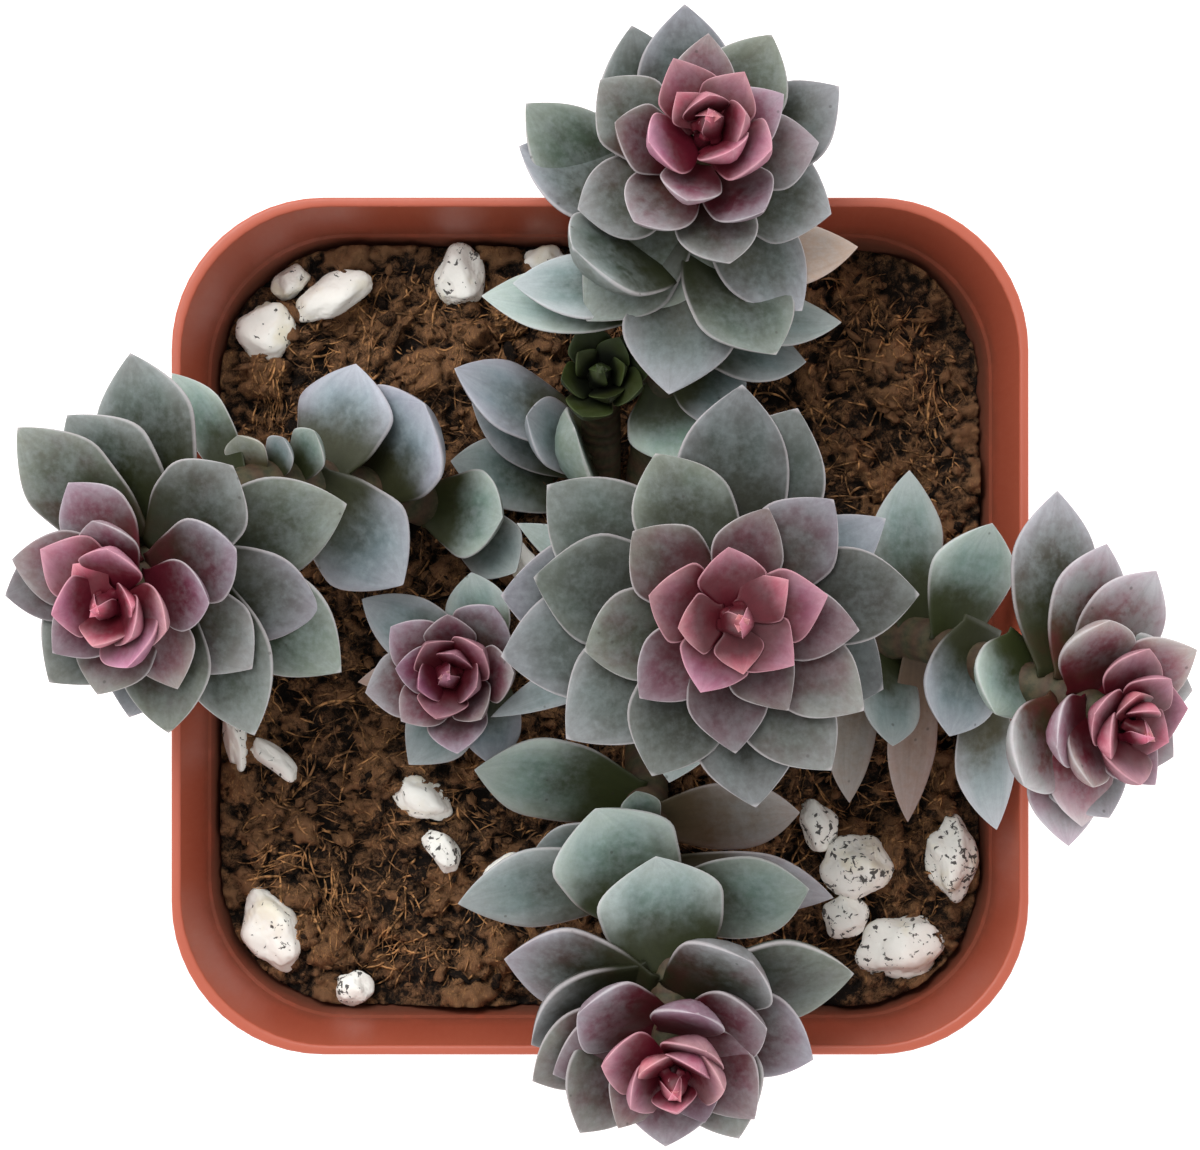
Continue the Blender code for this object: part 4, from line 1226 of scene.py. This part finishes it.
def soil_edge():
    """Numbers of the places around the edge of the soil, in order."""
    wide = SOIL_CELLS + 1
    edge = list(range(wide))
    edge += [j * wide + SOIL_CELLS for j in range(1, wide)]
    edge += [SOIL_CELLS * wide + i for i in range(SOIL_CELLS - 1, -1, -1)]
    return edge + [j * wide for j in range(SOIL_CELLS - 1, 0, -1)]


class CREMNO_OT_soil(bpy.types.Operator):
    """Make the body of soil with its cloddy top"""

    bl_idname = "cremno.soil"
    bl_label = "Make the soil"

    def execute(self, context):
        half = inner_half(SOIL_LEVEL) - CLEARANCE
        points, tones = [], []
        for x, y in soil_places(half):
            clod, share = clod_height(x, y)
            points.append((x, y, soil_height(x, y) + clod))
            # The tone follows the height of the clods; the soil's colour turns it into painted shade in
            # the hollows and a painted highlight on the clods.
            tones.append(0.5 + 0.9 * share)
        corners = [j * (SOIL_CELLS + 1) + i for j in range(SOIL_CELLS) for i in range(SOIL_CELLS)]
        faces = [(k, k + 1, k + SOIL_CELLS + 2, k + SOIL_CELLS + 1) for k in corners]
        edge = soil_edge()
        base, count = len(points), len(edge)
        shrink = (inner_half(2 * FLOOR) - 2 * FLOOR) / half
        points += [(points[k][0] * shrink, points[k][1] * shrink, FLOOR + CLEARANCE) for k in edge]
        tones += [0.5] * count
        for k in range(count):
            n = (k + 1) % count
            faces.append((edge[k], base + k, base + n, edge[n]))
        faces.append(tuple(base + k for k in reversed(range(count))))
        shape = Shape()
        shape.add(points, faces, tone=tones)
        shape.make("soil_body", [potting_soil()], "potting_soil", "soil")
        return {"FINISHED"}


def lump(centre, lengths, seed):
    """Points and faces of an uneven lump: a ball pushed in and out by noise, stretched and turned."""
    draw = random.Random(seed)
    turn = draw.uniform(0, 2 * math.pi)
    pole = Vector((draw.random(), draw.random(), 0.5)).normalized()
    spin = Matrix.Rotation(turn, 3, pole)
    start = Vector((draw.uniform(0, 50), draw.uniform(0, 50), 0))
    sphere, faces = ball(CRUMB_LEVEL)
    points = []
    for p in sphere:
        rough = 1 + CRUMB_ROUGHNESS * noise.noise(p * 1.4 + start)
        rough += CRUMB_ROUGHNESS * 0.6 * noise.noise(p * 3.5 + start)
        uneven = Vector([a * b / 2 for a, b in zip(p, lengths)]) * rough
        points.append(spin @ uneven + centre)
    return points, faces


class CREMNO_OT_crumbs(bpy.types.Operator):
    """Scatter crumbs and short flat chips of coir over the soil"""

    bl_idname = "cremno.crumbs"
    bl_label = "Scatter the crumbs"

    def execute(self, context):
        draw = random.Random(CRUMB_SEED)
        half = inner_half(SOIL_LEVEL) - LOOSE_MARGIN
        shape = Shape()
        for k in range(context.scene.cremno_soil.crumbs):
            x, y = draw.uniform(-half, half), draw.uniform(-half, half)
            if inside_by(x, y, half) < 0:
                continue
            size = blend(CRUMB_SIZES, draw.random() ** 2.5)
            lengths = [size * draw.uniform(*span) for span in CRUMB_SHAPE]
            height = soil_height(x, y) + clod_height(x, y)[0] + size * 0.1
            points, faces = lump(Vector((x, y, height)), lengths, k)
            shape.add(points, faces, tone=draw.uniform(0.3, 0.95))
        shape.make("soil_crumbs", [potting_soil()], "potting_soil")
        return {"FINISHED"}


def fibre(draw, x, y, angle, length, rise):
    """Centres of one curved fibre that lies over the soil."""
    curl = draw.uniform(-FIBRE_CURL, FIBRE_CURL)
    lift = draw.uniform(0.0, rise)
    centres = []
    px, py = x - math.cos(angle) * length / 2, y - math.sin(angle) * length / 2
    for k in range(FIBRE_STEPS + 1):
        t = k / FIBRE_STEPS
        height = soil_height(px, py) + max(clod_height(px, py)[0], FIBRE_LOWEST)
        centres.append(Vector((px, py, height + lift * math.sin(math.pi * t))))
        heading = angle + curl * (t - 0.5)
        px += math.cos(heading) * length / FIBRE_STEPS
        py += math.sin(heading) * length / FIBRE_STEPS
    return centres


def scattered_fibres(draw, half, count):
    """Fibres all over the soil: the place, heading, length, tone and rise of each."""
    for _ in range(count):
        x, y = draw.uniform(-half, half), draw.uniform(-half, half)
        combed = 2 * math.pi * noise.noise(Vector((x, y, 0)) / FIBRE_COMBED)
        length = blend(FIBRE_LENGTHS, draw.random() ** 3)
        heading = combed + draw.gauss(0, FIBRE_SWERVE)
        yield x, y, heading, length, draw.random() * 0.9, FIBRE_RISE


def bundled_fibres(draw):
    """Fibres that lie together in bundles, given in the same way."""
    for x, y, angle, length, width, count in TUFTS:
        way = math.radians(angle)
        for _ in range(count):
            off, on = draw.gauss(0, width / 2.2), draw.gauss(0, length / 4)
            px = x + math.cos(way) * on - math.sin(way) * off
            py = y + math.sin(way) * on + math.cos(way) * off
            heading = way + draw.gauss(0, BUNDLE_SWERVE)
            size = length * draw.uniform(0.3, 0.7) * MM
            yield px * MM, py * MM, heading, size, draw.uniform(0.4, 1.0), BUNDLE_RISE


class CREMNO_OT_fibres(bpy.types.Operator):
    """Lay loose coir fibres and bundles of them over the soil"""

    bl_idname = "cremno.fibres"
    bl_label = "Lay the fibres"

    def execute(self, context):
        draw = random.Random(FIBRE_SEED)
        half = inner_half(SOIL_LEVEL) - LOOSE_MARGIN
        laid = list(scattered_fibres(draw, half, context.scene.cremno_soil.fibres))
        laid += bundled_fibres(draw)
        shape = Shape()
        for x, y, angle, length, tone, rise in laid:
            if inside_by(x, y, half) < length / 3:
                continue
            centres = fibre(draw, x, y, angle, length, rise)
            thick = blend(FIBRE_RADII, draw.random() ** 2)
            outward = [abs(2 * k / FIBRE_STEPS - 1) for k in range(FIBRE_STEPS + 1)]
            points, faces = tube(centres, [thick * (1 - 0.7 * out ** 3) for out in outward], 3)
            shape.add(points, faces, tone=tone)
        shape.make("coir_fibres", [coir_fibre()], "potting_soil")
        return {"FINISHED"}


# Perlite


def chip_points(chip):
    """The same lump as the CAD chip, finer, cut by rounded-off flats and slightly pitted."""
    x, y, z, length, width, height, turn, _ = chip
    start = Vector((x, y, CHIP_SEED))
    draw = random.Random(f"{x} {y}")
    flats = []
    for _ in range(CHIP_FLATS):
        way = Vector([draw.gauss(0, 1) for _ in range(3)]).normalized()
        flats.append(way / draw.uniform(*CHIP_FLAT_DEPTHS))
    points = []
    spin = Matrix.Rotation(math.radians(turn), 3, "Z")
    sphere, faces = ball(CHIP_LEVEL)
    for p in sphere:
        rough = 1 + CHIP_ROUGHNESS * noise.noise(p * 1.3 + start)
        cut = sum(max(0.0, p.dot(flat)) ** CHIP_CRISP for flat in flats)
        rough *= CHIP_SWELL * (1 + cut) ** (-1 / CHIP_CRISP)
        for scale, depth in CHIP_PITS:
            rough += depth * (0.5 - 2 * abs(noise.noise(p * scale + start)))
        sized = Vector((p.x * length, p.y * width, p.z * height)) * (MM / 2)
        points.append(spin @ (sized * rough) + Vector((x, y, z)) * MM)
    return points, faces


class CREMNO_OT_perlite(bpy.types.Operator):
    """Make the chips of perlite in the soil"""

    bl_idname = "cremno.perlite"
    bl_label = "Make the perlite"

    def execute(self, context):
        for number, chip in enumerate(CHIPS, 1):
            shape = Shape()
            shape.add(*chip_points(chip), tone=chip[-1])
            name = f"perlite_{number:02d}"
            shape.make(name.replace("_", "_chip_"), [chalky_perlite()], "perlite", name)
        return {"FINISHED"}


# Stems and leaves


def lean_axis(stem, depth):
    """The stem's direction this far below its tip: it leans at the tip and bends below it."""
    lean_x, lean_y = (
        math.radians(lean + bend * depth / MM) for lean, bend in zip(stem["lean"], stem["bend"])
    )
    lean, towards = math.hypot(lean_x, lean_y), math.atan2(lean_y, lean_x)
    out = math.sin(lean)
    return Vector((out * math.cos(towards), out * math.sin(towards), math.cos(lean)))


def leaf_depth(i, stem, in_heart):
    """How far below the stem's tip leaf i grows; the leaves under the heart stand off it."""
    depth = stem["size"] * (SPACING * i + stem["spacing"] * MM * i * i)
    return depth if in_heart or not stem["heart"] else depth + HEART_GAP


def heart_floor(stem):
    return leaf_depth(stem["heart"] - 1, stem, True) + HEART_BASE


def leaf_count(name, stem):
    seen = TIPS_SEEN.get(name)
    return FIRST_SEEN + len(seen) if seen else stem["leaves"]


def tip_where_seen(root, axis, seen, length, opened):
    """The point on the line of sight to the seen place that is a leaf's length from its root.

    Of the two such points it takes the one whose angle to the stem is nearer the rule's; where
    the line passes farther off than the leaf's length it takes the nearest point of the line.
    """
    reach = VIEW_HEIGHT - POT_HEIGHT
    start = Vector((seen[0], seen[1], 0)) * MM * (VIEW_HEIGHT / reach)
    way = Vector((-seen[0] * MM / reach, -seen[1] * MM / reach, 1.0))
    away = start - root
    half = -away.dot(way) / way.length_squared
    room = half * half - (away.length_squared - length * length) / way.length_squared
    if room <= 0:
        return start + way * half
    tips = [start + way * (half + sign * math.sqrt(room)) for sign in (-1, 1)]
    return min(tips, key=lambda tip: abs((tip - root).angle(axis) - opened))


def opening(i):
    """The angle between leaf i and the stem by the rule."""
    if i < len(BUD_OPEN):
        return math.radians(BUD_OPEN[i])
    return math.radians(OPEN_FIRST + OPEN_RANGE * min(i / OPEN_LEAVES, OPEN_MOST) ** OPEN_POWER)


def leaf_length(i, stem):
    length = stem["size"] * LEAF_LENGTH * (min(i, OPEN_LEAVES) + 1) ** LEAF_GROWTH
    return length * BUD_REACH[i] if i < len(BUD_REACH) else length


def rosette_leaf(name, stem, line, i):
    """Root, tip, upward direction, width and shape shift of leaf i, counted from the stem's tip."""
    size = stem["size"]
    length = leaf_length(i, stem)
    opened = opening(i)
    grown = min(i / GROWN, 1)
    turn = math.radians(stem["first"] + stem["turn"] * i)
    middle, axis = point_along(line, leaf_depth(i, stem, i < stem["heart"]))
    if i >= FIRST_SEEN and name in TIPS_SEEN:
        tip = tip_where_seen(middle, axis, TIPS_SEEN[name][i - FIRST_SEEN], length, opened)
        radial = tip - middle
        radial = (radial - axis * radial.dot(axis)).normalized()
        opened = (tip - middle).angle(axis)
    else:
        level = Vector((math.cos(turn), math.sin(turn), 0))
        radial = Vector((0, 0, 1)).rotation_difference(axis) @ level
        tip = middle + (axis * math.cos(opened) + radial * math.sin(opened)) * length
    root = middle + radial * size * min(BASE_RADIUS + BASE_GROWTH * i, BASE_MOST)
    width = length * LEAF_WIDTH_RATIO + LEAF_WIDTH_EXTRA * size
    width *= blend((1, stem["breadth"]), grown)
    shift = blend((YOUNG_SHIFT, 1), grown)
    inward = axis * math.sin(opened) - radial * math.cos(opened)
    return root, tip, inward + Vector((0, 0, ROSETTE_FACE_UP * grown ** 2)), width, shift


def smooth_line(points, steps=8):
    """A smooth curve through the points, with some steps between each two of them."""
    ends = [2 * points[0] - points[1]] + list(points) + [2 * points[-1] - points[-2]]
    line = []
    for a, b, c, d in zip(ends, ends[1:], ends[2:], ends[3:]):
        for k in range(steps):
            t = k / steps
            line.append((2 * b + (c - a) * t + (2 * a - 5 * b + 4 * c - d) * t ** 2
                         + (3 * b - a - 3 * c + d) * t ** 3) / 2)
    return line + [points[-1]]


def stem_line(stem):
    """The stem's centre line from its tip down: through its bent end, then through its path."""
    point = Vector(stem["tip"]) * MM
    bent = [point]
    step = BENT_END / BENT_STEPS
    for k in range(BENT_STEPS):
        point = point - lean_axis(stem, step * (k + 0.5)) * step
        bent.append(point)
    path = [Vector(p) * MM for p in stem["path"]]
    return smooth_line(path + bent[::-3])[::-1]


def point_along(line, distance):
    """The point this far along the line, and the direction back to its start there."""
    for a, b in zip(line, line[1:]):
        step = (b - a).length
        if distance <= step:
            return a.lerp(b, distance / step), (a - b).normalized()
        distance -= step
    return line[-1], (line[-2] - line[-1]).normalized()


def line_length(line):
    return sum((b - a).length for a, b in zip(line, line[1:]))


def stem_leaf(line, leaf):
    """Root, tip, upward direction, width and shape shift of an older leaf along the stem."""
    distance, tip, width, _, *off = leaf
    root, ahead = point_along(line, distance * MM)
    tip = Vector(tip) * MM
    root += Vector(off[0]) * MM if off else (tip - root).normalized() * ROOT_OFF
    return root, tip, ahead + Vector((0, 0, STEM_FACE_UP)), width * MM, 1.0


def leaf_section(station, shift, youth):
    """Half width and keel at the stations, as shares of the leaf's half width and width."""
    peak = WIDEST * shift
    rise = np.sin(math.pi / 2 * np.clip(station / peak, 0, 1))
    past = np.clip((station - peak) / (1 - peak), 0, 1)
    before = station < peak
    spread = np.where(before, blend((FOOT_SPREAD, 1), rise), 1 - past ** blend(TIP_POWERS, youth))
    keel = np.where(before, blend((KEEL_FOOT, KEEL), rise), KEEL * (1 - past ** KEEL_POWER))
    return spread, keel


def blade(draw, station, length, width, shift):
    """How far aside and how high the points of a leaf lie, in a row for each station."""
    over, side = np.sin(LEAF_ANGLES), np.cos(LEAF_ANGLES)
    youth = (1 - shift) / (1 - YOUNG_SHIFT)
    spread, keel = leaf_section(station, shift, youth)
    half = (width / 2 * spread)[:, None]
    inside = np.clip(station, 0, 1)
    cup = blend(CUPS, youth) * draw.uniform(*CUP_VARIES)
    cup = cup * np.sin(math.pi * inside ** 0.8)[:, None]
    crown = CROWN * draw.uniform(*CROWN_VARIES)
    top = half * crown * np.maximum(over, 0) ** 0.9
    slope = (1 - np.abs(side) ** blend(KEEL_RIDGE, youth)) ** blend(KEEL_SLOPE, youth)
    under = (keel * width)[:, None] * slope
    height = half * cup * side ** 2 + np.where(over >= 0, top, -under)
    arch = (length * 4 * inside * (1 - station))[:, None]
    bend = draw.uniform(-LEAF_BEND, LEAF_BEND) * arch
    wave = 1 + LEAF_WAVE * np.sin(station * draw.uniform(9, 15) + draw.uniform(0, 6))[:, None]
    return half * side * wave + bend, height - LEAF_SAG * arch


def add_leaf(shape, root, tip, upper, width, shift, age, dry, tones, seed, finish=0):
    """A fleshy pointed leaf: a slightly cupped upper face, crisp edges and a keel below."""
    draw = random.Random(seed)
    along = tip - root
    length = along.length
    along.normalize()
    upper = (upper - along * upper.dot(along)).normalized()
    twist = math.radians(draw.uniform(-LEAF_TWIST, LEAF_TWIST))
    upper = Matrix.Rotation(twist, 3, along) @ upper
    across = upper.cross(along)
    steps = np.linspace(0, 1, LEAF_STATIONS + 1)[:-1]
    station = blend((-LEAF_SUNK / length, 1), 1 - (1 - steps) ** STATION_CROWDING)
    x, z = blade(draw, station, length, width, shift)
    middle = np.array(root) + station[:, None] * length * np.array(along)
    points = middle[:, None, :] + x[..., None] * np.array(across) + z[..., None] * np.array(upper)
    points = np.concatenate([points.reshape(-1, 3), np.array(tip)[None, :]])
    faces = ring_faces(LEAF_STATIONS, LEAF_ROUND)[:-1]
    last = (LEAF_STATIONS - 1) * LEAF_ROUND
    faces += [(last + j, last + (j + 1) % LEAF_ROUND, last + LEAF_ROUND) for j in range(LEAF_ROUND)]
    under = np.clip(-2 * np.sin(LEAF_ANGLES), 0, 1)
    shape.add(
        points, [tuple(reversed(face)) for face in faces], finish,
        along=np.append(np.repeat(np.clip(station, 0, 1), LEAF_ROUND), 1.0),
        across=np.append(np.tile(np.cos(LEAF_ANGLES), LEAF_STATIONS), 0.0),
        under=np.append(np.tile(under, LEAF_STATIONS), 0.0),
        age=age, tone=draw.uniform(*tones), dry=dry,
    )


def add_stem(shape, line, top, bottom, radius_at, finish):
    """The bare stem, slightly swollen where leaves grew."""
    count = round((bottom - top) / STEM_STEP)
    depths = [top + (bottom - top) * k / count for k in range(count + 1)]
    centres = [point_along(line, depth)[0] for depth in depths]
    swollen = [1 + STEM_KNOTS * noise.noise(Vector((d / STEM_KNOT_LENGTH, 0, 0))) for d in depths]
    radii = [radius_at(d) * share for d, share in zip(depths, swollen)]
    points, faces = tube(centres, radii, STEM_ROUND)
    along = np.repeat([d / bottom for d in depths], STEM_ROUND)
    shape.add(points, faces, finish, along=along, age=0.5, tone=0.5)


def make_stem(name, stem, material, slot):
    line = stem_line(stem)
    top = heart_floor(stem) + CLEARANCE if stem["heart"] else BARE_TOP * stem["size"]
    bottom = line_length(line)

    def radius_at(depth):
        if depth < top + STEM_NECK:
            share = (depth - top) / STEM_NECK
            return blend((STEM_TOP_RADIUS, STEM_NECK_RADIUS), share) * stem["size"]
        share = (depth - top - STEM_NECK) / (bottom - top - STEM_NECK)
        return blend((STEM_NECK_RADIUS * stem["size"], STEM_RADIUS), share)

    *tones, oldest = STEM_TONES[name]
    shape = Shape()
    add_stem(shape, line, top, bottom, radius_at, 1)
    for i in range(stem["heart"], leaf_count(name, stem)):
        age = oldest * min(1.0, (i - stem["heart"]) / (OPEN_LEAVES - stem["heart"]))
        add_leaf(shape, *rosette_leaf(name, stem, line, i), age, 0.0, tones, f"{name} {i}")
    for k, leaf in enumerate(STEM_LEAVES[name]):
        seed = f"{name} stem leaf {k}"
        add_leaf(shape, *stem_leaf(line, leaf), 1.0, leaf[3], STEM_LEAF_TONES, seed, 2)
    shape.make(f"leafy_stem_{name}", [material, stem_bark(), stem_leaf_skin()], slot, f"stem_{name}")


def make_heart(name, stem):
    line = stem_line(stem)
    floor = heart_floor(stem)
    size = stem["size"]
    shape = Shape()
    depths = (HEART_TOP * size, floor / 2, floor)
    radii = (HEART_CORE_TOP * size, HEART_CORE * size, HEART_CORE * size)
    points, faces = tube([point_along(line, depth)[0] for depth in depths], radii, STEM_ROUND)
    shape.add(points, faces, age=0.5, tone=0.3)
    *tones, youngest = HEART_TONES[name]
    for i in range(stem["heart"]):
        age = blend((youngest, 1), i / (stem["heart"] - 1))
        root, tip, upper, width, shift = rosette_leaf(name, stem, line, i)
        breadth = BUD_BREADTH if i < len(BUD_OPEN) else HEART_BREADTH
        add_leaf(shape, root, tip, upper, width * breadth, shift, age, 0.0, tones, f"{name} {i}")
    shape.make(f"rosette_heart_{name}", [pink_heart_leaf()], "pink_heart_leaf", f"heart_{name}")


class CREMNO_OT_stems(bpy.types.Operator):
    """Make the leafy stems with their rosettes"""

    bl_idname = "cremno.stems"
    bl_label = "Make the leafy stems"

    def execute(self, context):
        for name, stem in STEMS.items():
            if name == "shade":
                make_stem(name, stem, shaded_leaf(), "shaded_leaf")
            else:
                make_stem(name, stem, grey_green_leaf(), "grey_green_leaf")
        return {"FINISHED"}


class CREMNO_OT_hearts(bpy.types.Operator):
    """Make the pink hearts of the rosettes"""

    bl_idname = "cremno.hearts"
    bl_label = "Make the pink hearts"

    def execute(self, context):
        for name, stem in STEMS.items():
            if stem["heart"]:
                make_heart(name, stem)
        return {"FINISHED"}


# Stage


def add_floor(look):
    """The pale floor, which shines a little of itself."""
    mesh = bpy.data.meshes.new("floor")
    signs = ((-1, -1), (1, -1), (1, 1), (-1, 1))
    mesh.from_pydata([(x * FLOOR_REACH, y * FLOOR_REACH, 0) for x, y in signs], [], [(0, 1, 2, 3)])
    material, _, shader = new_material("floor", look.floor)
    connect(shader, {
        "Base Color": look.floor, "Roughness": 0.9, "Emission Color": WHITE,
        "Emission Strength": look.glow,
    })
    mesh.materials.append(material)
    floor = add_object("floor", mesh)


def add_sky(scene, look):
    """Soft light from all around, stronger from the sides than from above."""
    world = bpy.data.worlds.new("soft sky")
    world.use_nodes = True
    sky = world.node_tree
    direction = place(sky, "ShaderNodeTexCoord", "Generated")
    rise = place(sky, "ShaderNodeSeparateXYZ", "Z", {"Vector": direction})
    strength = rise.ramped(0.0, 1.0, look.horizon, look.zenith, smooth=False)
    connect(sky.nodes["Background"], {"Color": WHITE, "Strength": strength})
    scene.world = world


def add_lamp(look):
    """A large soft lamp that gives the shadows a direction."""
    light = bpy.data.lights.new("soft lamp", "AREA")
    light.shape = "DISK"
    light.size = LAMP_SIZE
    light.energy = look.lamp
    lamp = add_object("soft lamp", light)
    lamp.location = LAMP_PLACE
    aim = Vector(LAMP_AIM) - Vector(LAMP_PLACE)
    lamp.rotation_euler = aim.to_track_quat("-Z", "Y").to_euler()


def add_camera(scene, look):
    """The camera, straight above the middle of the pot."""
    lens = bpy.data.cameras.new("camera")
    lens.lens = look.focal_length
    lens.sensor_width = SENSOR_WIDTH
    lens.shift_y = look.shift
    lens.clip_start = CLIP_START
    camera = add_object("camera", lens)
    camera.location = (0, 0, VIEW_HEIGHT)
    scene.camera = camera


class CREMNO_OT_stage(bpy.types.Operator):
    """Make the pale floor, the soft lights and the camera straight above the pot"""

    bl_idname = "cremno.stage"
    bl_label = "Set the stage"

    def execute(self, context):
        look = context.scene.cremno_stage
        add_floor(look)
        add_sky(context.scene, look)
        add_lamp(look)
        add_camera(context.scene, look)
        context.scene.view_settings.view_transform = "Standard"
        return {"FINISHED"}


MAKERS = (
    CREMNO_OT_pot,
    CREMNO_OT_soil,
    CREMNO_OT_crumbs,
    CREMNO_OT_fibres,
    CREMNO_OT_perlite,
    CREMNO_OT_stems,
    CREMNO_OT_hearts,
    CREMNO_OT_stage,
)


class CREMNO_PT_panel(bpy.types.Panel):
    """Sidebar panel with the settings and the makers in order"""

    bl_idname = "CREMNO_PT_panel"
    bl_label = "Potted cremnosedum"
    bl_space_type = "VIEW_3D"
    bl_region_type = "UI"
    bl_category = "Cremnosedum"

    def draw(self, context):
        for name, group in SETTINGS.items():
            box = self.layout.box()
            box.label(text=group.__doc__)
            for setting in group.__annotations__:
                box.prop(getattr(context.scene, name), setting)
        for maker in MAKERS:
            self.layout.operator(maker.bl_idname)


SETTINGS = {
    "cremno_pot": CREMNO_PG_pot,
    "cremno_soil": CREMNO_PG_soil,
    "cremno_perlite": CREMNO_PG_perlite,
    "cremno_leaves": CREMNO_PG_leaves,
    "cremno_stage": CREMNO_PG_stage,
}


def register():
    for name, group in SETTINGS.items():
        bpy.utils.register_class(group)
        setattr(bpy.types.Scene, name, PointerProperty(type=group))
    for maker in MAKERS:
        bpy.utils.register_class(maker)
    bpy.utils.register_class(CREMNO_PT_panel)


def unregister():
    bpy.utils.unregister_class(CREMNO_PT_panel)
    for maker in reversed(MAKERS):
        bpy.utils.unregister_class(maker)
    for name, group in SETTINGS.items():
        delattr(bpy.types.Scene, name)
        bpy.utils.unregister_class(group)


def main():
    register()
    bpy.ops.cremno.pot()
    bpy.ops.cremno.soil()
    bpy.ops.cremno.crumbs()
    bpy.ops.cremno.fibres()
    bpy.ops.cremno.perlite()
    bpy.ops.cremno.stems()
    bpy.ops.cremno.hearts()
    bpy.ops.cremno.stage()


if __name__ == "__main__":
    main()
